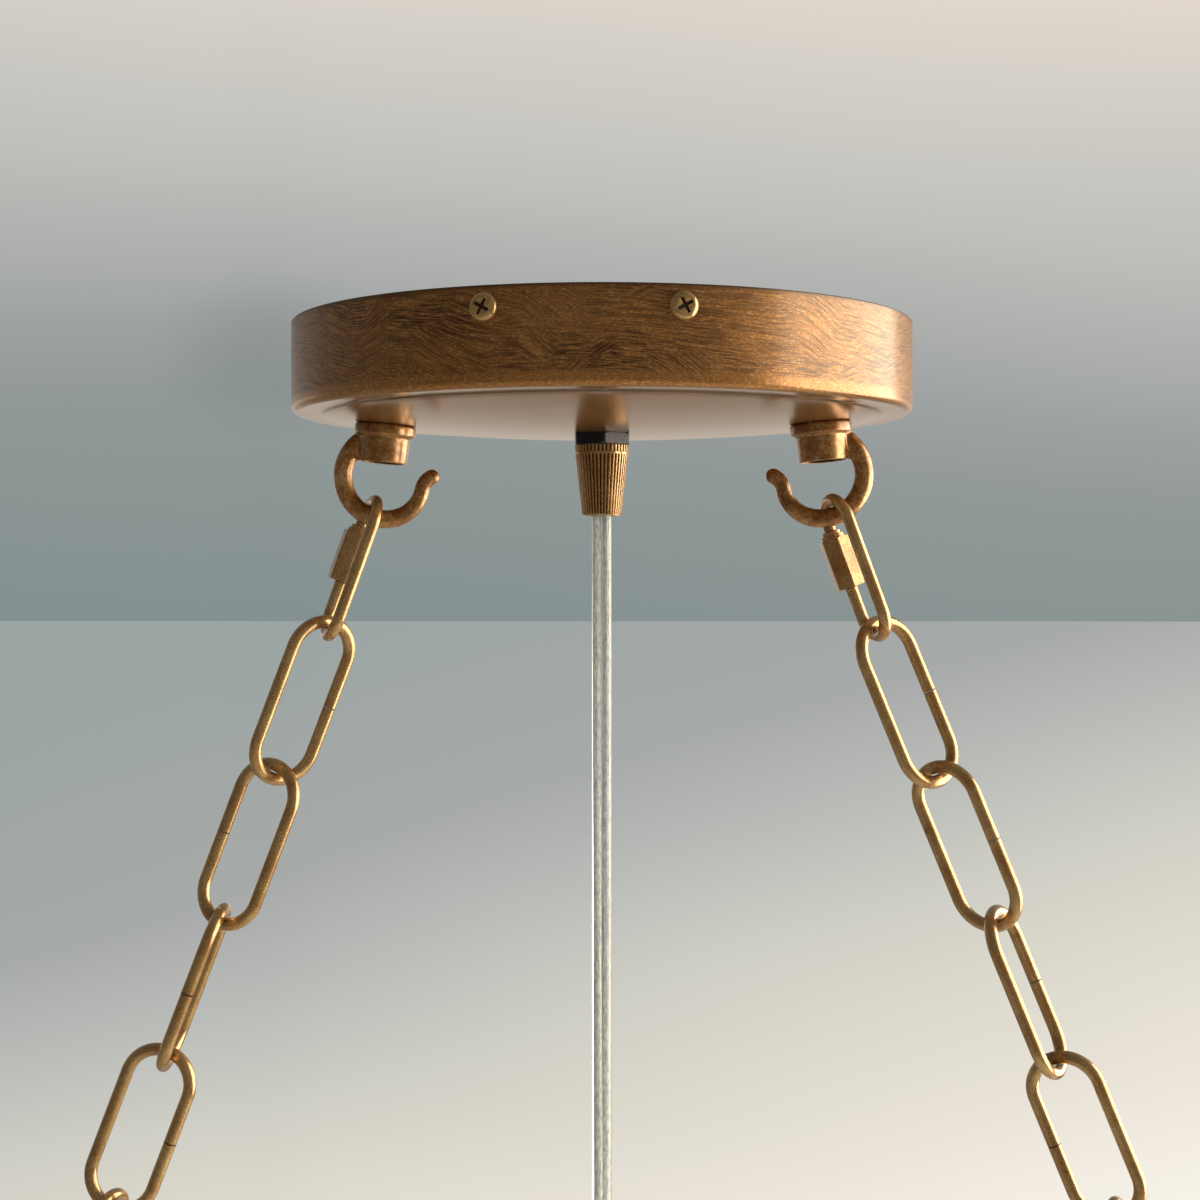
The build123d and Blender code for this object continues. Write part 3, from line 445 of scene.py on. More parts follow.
def make_glazed_gold(name, colours, stroke, patch, gold_share, rough, relief, rub):
    """Antique gold: gold paint on steel, brown glaze brushed over it and wiped off by hand.

    The eye gets a soft metallic sheen with a fine dark speckle, and brown left in every groove,
    where the piece's own attribute says so; in round recesses the same attribute paints shade.
    A stroke is so many millimetres wide, and a patch where more glaze stays so many across.
    A wide gold_share evens the tones out; rub wipes more off."""
    material, position = new_material(name)
    glaze = noise(position, stroke * 2, 3.0, 0.6) * 0.45 + noise(position, patch) * 0.55
    # groove: glaze left in grooves and at wire cuts, and painted shade in round recesses
    groove = output(position.tree, "ShaderNodeAttribute", socket="Fac", attribute_name="groove")
    wiped = glaze + rub - groove * groove * 0.6
    stops = (
        (0.5 - gold_share, colours.glaze_and_shade),
        (0.5, colours.gold_mid),
        (0.5 + gold_share, colours.gold_light),
    )
    inputs = {
        "Base Color": ramp(wiped, *stops),
        "Metallic": 0.7,
        "Roughness": spread(wiped, 0.3, 0.65, rough + 0.12, rough - 0.04),
        "Coat Weight": 1.0,
        "Coat Roughness": 0.2,
        "Normal": bumped(glaze, 0.3, relief),
    }
    return principled(material, inputs)


# What lies under the glaze, with make_glazed_gold's values from stroke to rub
GLAZED = {
    # mottled brown and gold with a pitted skin
    "zinc casting": (0.5, 5.0, 0.2, 0.34, 0.12, 0.02),
    # bent wire: smoother, with the gold rubbed bright along it
    "steel wire": (0.35, 8.0, 0.3, 0.27, 0.03, 0.18),
    # turned from hexagon bar: plain bright flats under a thin glaze
    "hexagon steel": (0.4, 9.0, 0.3, 0.3, 0.02, 0.12),
    # diecast: bright crests, with brown left between the ribs
    "ribbed nut": (0.3, 8.0, 0.3, 0.3, 0.02, 0.14),
}


def antique_gold(base, colours):
    return material_once(make_glazed_gold, "antique gold on " + base, colours, *GLAZED[base])


def dry_brush(position, slope, bend):
    """Dark lines left by the hairs of a dry brush, each about 0.35 mm wide and 9 mm long.

    slope is how steeply they run across the piece, and bend how far they curve, in millimetres."""
    tree = position.tree
    lift = noise(position, 34, 1.0, 0.4) * (bend * MM) + parts_of(position)[0] * slope
    inputs = {0: position, 1: combined(tree, 0.0, 0.0, lift)}
    moved = output(tree, "ShaderNodeVectorMath", inputs, operation="ADD")
    return spread(noise(stretched(moved, (1, 1, 25)), 9, 2.0, 0.7), 0.43, 0.56)


def make_canopy_finish(colours):
    """Antique gold on pressed steel: gold paint, brown glaze dragged over the wall, satin lacquer.

    The eye gets a speckled gold wall with fine dark hair lines that run round it and slant in
    patches some 25 mm wide, where the brush was turned. The underside has no brush marks: seen
    along its face, its lacquer mirrors the room and the hubs."""
    material, position = new_material("antique gold glaze brushed on steel")
    across, depth, height = parts_of(position)
    patches = noise(position, 26, 2.0, 0.5)
    level, rising = dry_brush(position, 0.05, 4.0), dry_brush(position, 0.55, 16.0)
    hairs = mixed_values(spread(patches, 0.52, 0.6), level, rising)
    falling = dry_brush(position, -0.6, 12.0)
    hairs = mixed_values(spread(patches, 0.45, 0.37), hairs, falling)
    laden = noise(stretched(position, (1, 1, 3)), 48, 2.0, 0.5)
    brushed = spread(height, -23.0 * MM, -21.5 * MM)
    hairs = hairs * spread(laden, 0.35, 0.6, 0.55, 0.95) * brushed
    # Painted shadow: a dark line along the top rim, where the canopy meets the ceiling
    painted_rim_shadow = spread(height, -1.6 * MM, -0.4 * MM, 0.0, 0.8)
    speckle = noise(stretched(position, (1, 1, 2.5)), 0.9, 2.0, 0.6)
    gold = ramp(speckle, (0.25, "#8a5827"), (0.5, colours.gold_mid), (0.85, colours.gold_light))
    wall = mixed_colours(number("MAXIMUM", hairs, painted_rim_shadow), gold, colours.glaze_and_shade)
    underside = ramp(noise(position, 20), (0.3, "#7c5227"), (0.7, "#94683a"))
    radius = number("SQRT", across * across + depth * depth)
    on_wall = spread(radius, *(edge * MM for edge in WALL_SHADING_FROM))
    colour = mixed_colours(on_wall, underside, wall)
    # Painted shade: a dark line along the step at the dome's edge
    from_step = number("ABSOLUTE", radius - STEP_SHADING_RADIUS * MM)
    painted_step_shade = spread(from_step, 0.3 * MM, 0.75 * MM, 0.8, 0.0)
    wall_roughness = spread(brushed, 0.0, 1.0, 0.3, 0.42)
    inputs = {
        "Base Color": mixed_colours(painted_step_shade, colour, colours.glaze_and_shade),
        "Metallic": 0.6,
        "Roughness": spread(on_wall, 0.0, 1.0, 0.24, wall_roughness),
        "Coat Weight": 0.5,
        "Coat Roughness": 0.2,
        "Normal": bumped(hairs * on_wall, 0.2, -0.05),
    }
    return principled(material, inputs)


def make_clear_pvc():
    """Clear soft PVC, extruded: a smooth glossy skin that bends the view of the wires in it."""
    material, position = new_material("clear extruded PVC")
    ripple = noise(stretched(position, (1, 1, 0.12)), 1.5, 2.0)
    inputs = {
        "Base Color": rgba("#fafbf8"),
        "Roughness": 0.06,
        "IOR": 1.46,
        "Transmission Weight": 1.0,
        "Normal": bumped(ripple, 0.15, 0.1),
    }
    return principled(material, inputs)


def make_tinned_copper(colours):
    """Tinned copper wire, drawn and stranded: silvery, with grey lines where strands meet."""
    material, position = new_material("tinned copper strand")
    speckle = noise(stretched(position, (1, 1, 0.35)), 0.7)
    inputs = {
        "Base Color": ramp(speckle, (0.35, "#c6c9c8"), (0.6, colours.tinned_copper)),
        "Metallic": 0.15,
        "Roughness": spread(speckle, 0.3, 0.7, 0.42, 0.28),
    }
    return principled(material, inputs)


def make_mottled(name, dark, light, metallic, mottle, span, rough, bump):
    """Even surface whose mottles also vary its roughness and dent it.

    span is how far from the middle the colours lie, rough the roughness of dents and crests."""
    material, position = new_material(name)
    grain = noise(position, *mottle)
    inputs = {
        "Base Color": ramp(grain, (0.5 - span, dark), (0.5 + span, light)),
        "Metallic": metallic,
        "Roughness": spread(grain, 0.3, 0.7, *rough),
        "Normal": bumped(grain, *bump),
    }
    return principled(material, inputs)


def make_metal(name, dark, light, rough, grain):
    """Bare or plated metal with faint mottling. grain is the size of the mottles in millimetres."""
    ends = (rough + 0.1, rough - 0.06)
    return make_mottled(name, dark, light, 1.0, (grain, 4.0), 0.15, ends, (0.15, 0.05))


def make_plastic(name, dark, light, rough, grain):
    """Moulded plastic: even colour with a fine spark-eroded grain, grain in millimetres."""
    ends = (rough + 0.06, rough - 0.04)
    return make_mottled(name, dark, light, 0.0, (grain, 3.0), 0.2, ends, (0.12, 0.04))


def make_striped_pvc():
    """Green PVC insulation with a yellow stripe, in bands about 3 mm wide across the lead."""
    material, position = new_material("green and yellow PVC insulation")
    inputs = {"Vector": position, "Scale": 1 / (11 * MM), "Distortion": 1.0}
    bands = output(position.tree, "ShaderNodeTexWave", inputs, "Fac")
    colour = ramp(bands, (0.62, "#2f7a2c"), (0.7, "#d8c22e"))
    return principled(material, {"Base Color": colour, "Roughness": 0.4})


def zinc_plate():
    return material_once(make_metal, "zinc plated steel", "#8f9496", "#b9bdbe", 0.38, 1.2)


def bare_brass():
    return material_once(make_metal, "machined brass", "#8e6a31", "#c59a50", 0.3, 0.8)


# Making meshes


def new_object(name, data):
    made = bpy.data.objects.new(name, data)
    bpy.context.scene.collection.objects.link(made)
    return made


def drop(piece):
    """Remove a working object and its data."""
    data = piece.data
    bpy.data.objects.remove(piece)
    if data.users == 0:
        (bpy.data.meshes if isinstance(data, bpy.types.Mesh) else bpy.data.curves).remove(data)


def evaluated_mesh(piece):
    bpy.context.view_layer.update()
    graph = bpy.context.evaluated_depsgraph_get()
    return bpy.data.meshes.new_from_object(piece.evaluated_get(graph), depsgraph=graph)


def modified(mesh, name, **modifiers):
    """Mesh with modifiers applied, each given by its kind with its settings."""
    source = new_object(name + "_work", mesh)
    for kind, settings in modifiers.items():
        modifier = source.modifiers.new(kind, kind)
        for key, value in settings.items():
            setattr(modifier, key, value)
    made = evaluated_mesh(source)
    drop(source)
    return made


def edit_mesh(mesh, *steps):
    work = bmesh.new()
    work.from_mesh(mesh)
    for step in steps:
        step(work)
    work.to_mesh(mesh)
    work.free()


def welding(distance):
    return lambda work: bmesh.ops.remove_doubles(work, verts=work.verts, dist=distance)


def face_outwards(work):
    bmesh.ops.recalc_face_normals(work, faces=work.faces)


def clear_flats(work):
    """Join the triangles of each flat face."""
    bmesh.ops.dissolve_limit(
        work, angle_limit=math.radians(1.5), verts=work.verts, edges=work.edges, delimit={"NORMAL"}
    )


def grow(name, source, tree, values, place=HERE):
    """Run a geometry tree on a working object and return the plain mesh in its place."""
    modifier = source.modifiers.new("tree", "NODES")
    modifier.node_group = tree
    for item in tree.interface.items_tree:
        if item.in_out == "INPUT" and item.name in values:
            modifier[item.identifier] = values[item.name]
    mesh = evaluated_mesh(source)
    drop(source)
    mesh.transform(place)
    mesh.name = name
    edit_mesh(mesh, welding(1e-7), face_outwards)
    return mesh


def new_curve(name, kind, line, radii=None):
    """Curve object with one spline through points given in millimetres."""
    data = bpy.data.curves.new(name, "CURVE")
    data.dimensions = "3D"
    spline = data.splines.new(kind)
    spline.points.add(len(line) - 1)
    for point, place in zip(spline.points, line):
        point.co = (*(Vector(place) * MM), 1)
    if radii:
        for point, radius in zip(spline.points, radii):
            point.radius = radius
    return new_object(name, data)


def join_meshes(name, meshes, material):
    """One object from one or several meshes, with one material."""
    joined = meshes[0]
    if len(meshes) > 1:
        joined = bpy.data.meshes.new(name)
        edit_mesh(joined, *[lambda work, mesh=mesh: work.from_mesh(mesh) for mesh in meshes])
        for mesh in meshes:
            bpy.data.meshes.remove(mesh)
    joined.name = name
    joined.materials.clear()
    joined.materials.append(material)
    joined.polygons.foreach_set("material_index", [0] * len(joined.polygons))
    return new_object(name, joined)


def finish_piece(piece, body, slot, *nodes):
    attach(piece, body)
    if nodes:
        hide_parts(*nodes)


def smooth_by_angle(mesh, angle=35):
    mesh.shade_smooth()
    mesh.set_sharp_from_angle(angle=math.radians(angle))


def cad_copy(node):
    """Mesh of a CAD node with its loose triangles joined up."""
    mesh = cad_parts[node].data.copy()
    edit_mesh(mesh, welding(2e-6))
    return mesh


def softened(node, name, material, width):
    """Copy of a CAD node whose sharp edges are rounded as tumbling or paint rounds them."""
    mesh = cad_copy(node)
    edit_mesh(mesh, clear_flats)
    smooth_by_angle(mesh)
    bevel = {
        "width": width * MM,
        "segments": 2,
        "limit_method": "ANGLE",
        "angle_limit": math.radians(30),
        "harden_normals": True,
    }
    return join_meshes(name, [modified(mesh, name, BEVEL=bevel)], material)


def paint_recess_shade(mesh, place, depth, radius, low, high):
    """Give the points in a round recess a groove value of the given depth: painted shade that
    darkens the glaze there.
    """
    inwards = place.inverted()
    grooves = mesh.attributes.new("groove", "FLOAT", "POINT")
    for vertex, groove in zip(mesh.vertices, grooves.data):
        at = inwards @ vertex.co / MM
        inside = math.hypot(at.x, at.y) < radius and low < at.z < high
        groove.value = depth if inside else 0.0


# Geometry trees


def new_tree(name, **inputs):
    """Geometry tree that takes a geometry, a material and the inputs named by kind."""
    tree = bpy.data.node_groups.new(name, "GeometryNodeTree")
    labels = {"Geometry": ("Geometry",), **inputs, "Material": ("Material",)}
    for kind, names in labels.items():
        for label in names:
            tree.interface.new_socket(label, in_out="INPUT", socket_type="NodeSocket" + kind)
    tree.interface.new_socket("Geometry", in_out="OUTPUT", socket_type="NodeSocketGeometry")
    given = add_node(tree, "NodeGroupInput")
    return tree, {socket.name: Value(tree, socket) for socket in given.outputs}


def end_tree(geometry, material):
    tree = geometry.tree
    realised = output(tree, "GeometryNodeRealizeInstances", {"Geometry": geometry})
    inputs = {"Geometry": realised, "Material": material}
    painted = output(tree, "GeometryNodeSetMaterial", inputs)
    add_node(tree, "NodeGroupOutput", {"Geometry": painted})
    return tree


def tree_once(name, make):
    return bpy.data.node_groups.get(name) or make(name)


def smooth_nodes(geometry, angle):
    tree = geometry.tree
    smooth = output(tree, "GeometryNodeSetShadeSmooth", {0: geometry, "Shade Smooth": True})
    bend = output(tree, "GeometryNodeInputMeshEdgeAngle", socket="Unsigned Angle")
    inputs = {0: smooth, "Selection": bend > math.radians(angle), "Shade Smooth": False}
    return output(tree, "GeometryNodeSetShadeSmooth", inputs, domain="EDGE")


def stored(geometry, name, value, domain="POINT"):
    inputs = {"Geometry": geometry, "Name": name, "Value": value}
    kind = "GeometryNodeStoreNamedAttribute"
    return output(geometry.tree, kind, inputs, data_type="FLOAT", domain=domain)


def swept(curve, radius, sides, angle):
    """Round bar with closed ends along a curve. Only edges sharper than the angle stay sharp."""
    tree = curve.tree
    section = {"Resolution": sides, "Radius": radius}
    section = output(tree, "GeometryNodeCurvePrimitiveCircle", section)
    inputs = {"Curve": curve, "Profile Curve": section, "Fill Caps": True}
    return smooth_nodes(output(tree, "GeometryNodeCurveToMesh", inputs), angle)


def turned_tree(name):
    """Lathe: turns the profile curve about Z, with ribs, a thread or flats cut into part of it."""
    ribs = ("Ribs", "Turns per metre", "Rib depth", "Crest share", "Ribs from", "Ribs to")
    others = ("Band from", "Band to", "Flats", "Half across flats", "Corner radius")
    tree, given = new_tree(name, Int=("Segments",), Float=ribs + others)
    curve, segments, flats = given["Geometry"], given["Segments"], given["Flats"]
    kind, inputs = "GeometryNodeAttributeDomainSize", {"Geometry": curve}
    rows = output(tree, kind, inputs, "Point Count", component="CURVE")
    columns = segments + 1.0
    grid = output(tree, "GeometryNodeMeshGrid", {"Vertices X": rows, "Vertices Y": columns})
    index = output(tree, "GeometryNodeInputIndex")
    row = number("FLOOR", (index + 0.5) / columns)
    sample = {"Geometry": curve, "Value": output(tree, "GeometryNodeInputPosition"), "Index": row}
    settings = {"data_type": "FLOAT_VECTOR", "domain": "POINT"}
    profile = output(tree, "GeometryNodeSampleIndex", sample, **settings)
    radius, _, height = parts_of(profile)
    share = (index - row * columns) / segments
    in_band = (height > given["Band from"]) * (height < given["Band to"])
    phase = share * given["Ribs"] + in_band * 0.5 + height * given["Turns per metre"]
    from_crest = number("ABSOLUTE", number("FRACT", phase) * 2.0 - 1.0)
    groove = spread(from_crest, given["Crest share"], 1.0, easing="SMOOTHSTEP")
    ribbed = (height > given["Ribs from"]) * (height < given["Ribs to"])
    in_groove = groove * number("MAXIMUM", ribbed, in_band)
    flat_angle = (number("FRACT", share * flats) - 0.5) * math.tau / flats
    flat_reach = given["Half across flats"] / number("COSINE", flat_angle)
    unbounded = flats < 0.5
    flat_reach = number("MINIMUM", flat_reach, given["Corner radius"]) + unbounded
    reach = number("MINIMUM", radius - in_groove * given["Rib depth"], flat_reach)
    angle = share * math.tau
    place = combined(tree, reach * number("SINE", angle), reach * number("COSINE", angle), height)
    turned = output(tree, "GeometryNodeSetPosition", {"Geometry": grid, "Position": place})
    merging = {"Geometry": stored(turned, "groove", in_groove), "Distance": 1e-6}
    merged = output(tree, "GeometryNodeMergeByDistance", merging)
    return end_tree(smooth_nodes(merged, 38), given["Material"])


def wire_tree(name):
    """Wire: a round section along the curve, whose closed ends are noted as grooves."""
    tree, given = new_tree(name, Float=("Wire radius",), Int=("Sides",))
    along = output(tree, "GeometryNodeSplineParameter", socket="Factor")
    at_cut = spread(number("ABSOLUTE", along - 0.5), 0.4993, 0.4998)
    line = stored(given["Geometry"], "groove", at_cut)
    return end_tree(swept(line, given["Wire radius"], given["Sides"], 50), given["Material"])


def screws_tree(name):
    """Screws: one at each point, with its head facing the way that the point's arrow says."""
    tree, given = new_tree(name, Object=("Screw",))
    kind = "GeometryNodeInputNamedAttribute"
    arrow = output(tree, kind, {"Name": "arrow"}, data_type="FLOAT_VECTOR")
    settings = {"axis": "Z", "pivot_axis": "AUTO"}
    turn = output(tree, "FunctionNodeAlignRotationToVector", {"Vector": arrow}, **settings)
    screw = output(tree, "GeometryNodeObjectInfo", {"Object": given["Screw"]}, "Geometry")
    inputs = {"Points": given["Geometry"], "Instance": screw, "Rotation": turn}
    return end_tree(output(tree, "GeometryNodeInstanceOnPoints", inputs), given["Material"])


def strands_tree(name):
    """Stranded wires: copies of the cable's line, wound round it in two bundles."""
    sizes = ("Core offset", "Core radius", "Core twist", "Strand lay", "Strand radius", "Step")
    tree, given = new_tree(name, Int=("Strands",), Float=sizes)
    inputs = {"Curve": given["Geometry"], "Length": given["Step"]}
    line = output(tree, "GeometryNodeResampleCurve", inputs, mode="LENGTH")
    inputs = {"Geometry": line, "Amount": given["Strands"] * 2.0}
    copies = add_node(tree, "GeometryNodeDuplicateElements", inputs, domain="SPLINE")
    lines, which = (Value(tree, copies.outputs[key]) for key in ("Geometry", "Duplicate Index"))
    lines = stored(lines, "strand", which, "CURVE")
    kind = "GeometryNodeInputNamedAttribute"
    which = output(tree, kind, {"Name": "strand"}, data_type="FLOAT")
    core = number("MODULO", which, 2.0)
    around = number("FLOOR", which / 2.0) / given["Strands"]
    share = output(tree, "GeometryNodeSplineParameter", socket="Factor")
    length = output(tree, "GeometryNodeSplineParameter", socket="Length")
    core_angle = share * given["Core twist"] + core * math.pi
    strand_angle = (around + length / given["Strand lay"]) * math.tau
    offset = [
        number(axis, core_angle) * given["Core offset"]
        + number(axis, strand_angle) * given["Core radius"]
        for axis in ("COSINE", "SINE")
    ]
    inputs = {"Geometry": lines, "Offset": combined(tree, *offset)}
    wound = output(tree, "GeometryNodeSetPosition", inputs)
    return end_tree(swept(wound, given["Strand radius"], 6, 80), given["Material"])


# Shapes


def arc(centre, radius, start, end, steps):
    """Points on an arc in a profile, angles in degrees from outwards to upwards."""
    angles = [math.radians(start + (end - start) * step / steps) for step in range(steps + 1)]
    return [(centre[0] + radius * math.cos(a), centre[1] + radius * math.sin(a)) for a in angles]


def subdivided(start, end, steps):
    """Points of a profile at even distances from start to end, both included."""
    (x, z), (end_x, end_z) = start, end
    return [
        (x + (end_x - x) * step / steps, z + (end_z - z) * step / steps)
        for step in range(steps + 1)
    ]


def turned_mesh(name, profile, place, material, segments, shape):
    """Mesh turned from a profile of (radius, height) points in millimetres.

    Shape holds the tree's other inputs, with their lengths in metres."""
    source = new_curve(name, "POLY", [(radius, 0, height) for radius, height in profile])
    values = {"Segments": segments, "Material": material, **shape}
    return grow(name, source, tree_once("Turned piece", turned_tree), values, place)


def turned_piece(name, profile, place, material, segments, shape):
    mesh = turned_mesh(name, profile, place, material, segments, shape)
    return join_meshes(name, [mesh], material)


def hexagon_piece(name, profile, place, across_flats, turn, material):
    """Turned piece with six flats. Turn is a corner's angle from the place's X, in degrees."""
    shape = {
        "Flats": 6.0,
        "Half across flats": across_flats / 2 * MM,
        "Corner radius": (across_flats / math.sqrt(3) - 0.12) * MM,
    }
    turned = place @ Matrix.Rotation(math.radians(turn - 30), 4, "Z")
    return turned_piece(name, profile, turned, material, HEXAGON_SEGMENTS, shape)


def hexagon_nut(name, low, height, across_flats, place, turn, material):
    corner, bore, chamfer = across_flats / math.sqrt(3), NUT_BORE_RADIUS, NUT_CHAMFER
    high = low + height
    profile = [(bore, low + 0.3), (bore + 0.3, low)]
    profile += subdivided((corner - chamfer, low), (corner, low + chamfer), 5)
    profile += subdivided((corner, high - chamfer), (corner - chamfer, high), 5)
    profile += [(bore + 0.3, high), (bore, high - 0.3), (bore, low + 0.3)]
    return hexagon_piece(name, profile, place, across_flats, turn, material)


def thread(low, high, pitch, depth, crest_share, runout):
    """What the lathe needs to cut a thread that stops short of both ends by the runout."""
    return {
        "Ribs": 1.0,
        "Turns per metre": 1 / pitch,
        "Rib depth": depth * MM,
        "Crest share": crest_share,
        "Ribs from": (low + runout) * MM,
        "Ribs to": (high - runout) * MM,
    }


def thread_points(crest, low, high, chamfer, pitch):
    """Profile of a thread's crest, with eight points to each turn."""
    turns = (high - low) / (pitch / MM)
    return subdivided((crest, low + chamfer), (crest, high - chamfer), int(turns * 8))


def threaded_tube(name, low, high, bore, place, pitch):
    profile = [(bore + 0.3, low), (TUBE_RADIUS - 0.45, low)]
    profile += thread_points(TUBE_RADIUS, low, high, 0.4, pitch)
    profile += [(TUBE_RADIUS - 0.45, high), (bore + 0.3, high), (bore, high - 0.3)]
    profile += [(bore, low + 0.3), (bore + 0.3, low)]
    shape = thread(low, high, pitch, *TUBE_THREAD)
    return turned_piece(name, profile, place, zinc_plate(), TUBE_SEGMENTS, shape)


def threaded_end(name, low, high, place, pitch, finish):
    crest = QUICK_LINK_THREAD_RADIUS
    profile = [(0, low), (crest - 0.35, low)]
    profile += thread_points(crest, low, high, 0.3, pitch)
    profile += [(crest - 0.35, high), (0, high)]
    shape = thread(low, high, pitch, *QUICK_LINK_END_THREAD)
    return turned_mesh(name, profile, place, finish, THREADED_END_SEGMENTS, shape)


def loop_points(bend, limb_half, side, low, high):
    """Centre line of a wire loop from the upper cut to the lower one, in its own X and Z."""
    turn = [math.pi * step / BEND_STEPS for step in range(BEND_STEPS + 1)]
    near, far = side * bend, -side * bend
    points = [(near, 0, high), (near, 0, high + 0.25)]
    points += [(near, 0, z) for z in (high + 0.6, (high + limb_half) / 2) if z < limb_half]
    points += [(near * math.cos(a), 0, limb_half + bend * math.sin(a)) for a in turn]
    points += [(far, 0, limb_half * share) for share in (0.5, 0, -0.5)]
    points += [(far * math.cos(a), 0, -limb_half - bend * math.sin(a)) for a in turn]
    points += [(near, 0, z) for z in ((low - limb_half) / 2, low - 0.6) if z > -limb_half]
    return points + [(near, 0, low - 0.25), (near, 0, low)]


def wire_mesh(name, points, radius, place, material, radii=None):
    source = new_curve(name, "POLY", points, radii)
    values = {"Wire radius": radius * MM, "Sides": WIRE_SIDES, "Material": material}
    return grow(name, source, tree_once("Bent wire", wire_tree), values, place)


def canopy_profile():
    """Outside from the rim down the wall and in over the dome, then back along the inside."""
    corner = (CANOPY_RADIUS - CANOPY_CORNER_RADIUS, CANOPY_CORNER_RADIUS - CANOPY_WALL_HEIGHT)
    bottom, inside = -CANOPY_WALL_HEIGHT, CANOPY_SHEET - CANOPY_WALL_HEIGHT
    dome = [DOME_EDGE_RADIUS * step / 18 for step in range(18, -1, -1)]
    points = [(CANOPY_RADIUS - RIM_CHAMFER, 0), (CANOPY_RADIUS, -RIM_CHAMFER)]
    points += subdivided((CANOPY_RADIUS, -0.6), (CANOPY_RADIUS, corner[1] + 0.3), 8)
    points += arc(corner, CANOPY_CORNER_RADIUS, 0, -90, 8)
    points += subdivided((corner[0] - 0.4, bottom), (BAND_INNER_RADIUS + 0.25, bottom), 2)
    points += [(BAND_INNER_RADIUS, bottom - 0.06), (DOME_EDGE_RADIUS + 0.15, 0.05 - DOME_EDGE_DROP)]
    points += [(radius, dome_height(radius)) for radius in dome]
    points += [(radius, dome_height(radius) + CANOPY_SHEET) for radius in reversed(dome)]
    points += [(BAND_INNER_RADIUS, inside), (corner[0], inside)]
    points += arc(corner, CANOPY_CORNER_RADIUS - CANOPY_SHEET, -90, 0, 4)
    return points + [(CANOPY_RADIUS - CANOPY_SHEET, 0), (CANOPY_RADIUS - RIM_CHAMFER, 0)]


def sleeve_profile():
    """Hexagon body with its corners cut at both ends, then the round collar and neck."""
    corner = SLEEVE_ACROSS_FLATS / math.sqrt(3)
    bore, cut = SLEEVE_BORE_RADIUS, SLEEVE_CORNER_CUT
    collar_top = SLEEVE_HIGH + SLEEVE_COLLAR_HEIGHT
    neck_top = collar_top + SLEEVE_COLLAR_HEIGHT
    profile = [(bore, SLEEVE_LOW + 0.2), (bore + 0.2, SLEEVE_LOW)]
    profile += subdivided((corner - cut, SLEEVE_LOW), (corner, SLEEVE_LOW + cut), 5)
    profile += subdivided((corner, SLEEVE_HIGH - cut), (corner - cut, SLEEVE_HIGH), 5)
    profile += [(SLEEVE_COLLAR_RADIUS, SLEEVE_HIGH), (SLEEVE_COLLAR_RADIUS, collar_top - 0.12)]
    profile += [(SLEEVE_COLLAR_RADIUS - 0.12, collar_top), (SLEEVE_NECK_RADIUS, collar_top)]
    profile += [(SLEEVE_NECK_RADIUS, neck_top - 0.15), (SLEEVE_NECK_RADIUS - 0.15, neck_top)]
    return profile + [(bore, neck_top), (bore, SLEEVE_LOW + 0.2)]


def grip_nut_profile():
    """From the wide end down: ribbed band, plain ring, ribbed taper, then back up the bore."""
    ring_end, end = GRIP_BAND_HEIGHT + GRIP_RING_HEIGHT, GRIP_NUT_HEIGHT
    top, band, bottom = GRIP_NUT_TOP_RADIUS, GRIP_NUT_BAND_RADIUS, GRIP_NUT_BOTTOM_RADIUS
    profile = [(GRIP_BORE_RADIUS, 0), (top - 0.3, 0), (top, 0.3)]
    profile += subdivided((top, 0.35), (band, GRIP_BAND_HEIGHT - 0.12), 3)
    profile += [(band, GRIP_BAND_HEIGHT), (band, ring_end)]
    profile += subdivided((band, ring_end + 0.12), (bottom + 0.05, end - 0.45), 14)
    profile += [(bottom, end - 0.4), (bottom - 0.12, end - 0.1), (bottom - 0.3, end)]
    profile += [(GRIP_LIP_RADIUS, end), (GRIP_LIP_RADIUS, end - GRIP_LIP_HEIGHT)]
    return profile + [(GRIP_BORE_RADIUS, end - GRIP_LIP_HEIGHT), (GRIP_BORE_RADIUS, 0)]


def grip_nut(name, place, sizes, finish):
    """Nut whose band has its ribs half a rib round from the taper's."""
    shape = {
        "Ribs": float(sizes.ribs),
        "Rib depth": sizes.rib_depth,
        "Crest share": 0.3,
        "Ribs from": (GRIP_BAND_HEIGHT + GRIP_RING_HEIGHT + 0.1) * MM,
        "Ribs to": (GRIP_NUT_HEIGHT - 0.42) * MM,
        "Band from": 0.32 * MM,
        "Band to": (GRIP_BAND_HEIGHT - 0.1) * MM,
    }
    segments = sizes.ribs * SEGMENTS_PER_RIB
    return turned_piece(name, grip_nut_profile(), place, finish, segments, shape)


def facing(height, way):
    """Frame at a height on the cable's line, with Z up it where way is 1, and down it where -1."""
    return placement((0, 0, height), Vector((1, 0, 0)), Vector((0, 0, way)))


# Operators, one to each piece or group


class Builder:
    """What every operator does: build its pieces with the scene's sizes and colours."""

    def execute(self, context):
        self.build(context.scene.suspension_sizes, context.scene.suspension_colours)
        return {"FINISHED"}


class OBJECT_OT_suspension_canopy(Builder, bpy.types.Operator):
    """Turn the pressed steel canopy with its brushed wall and satin underside"""

    bl_idname = "object.suspension_canopy"
    bl_label = "Canopy"

    def build(self, sizes, colours):
        finish = make_canopy_finish(colours)
        piece = turned_piece("canopy_shell", canopy_profile(), HERE, finish, CANOPY_SEGMENTS, {})
        finish_piece(piece, ROOT, "canopy", "canopy")


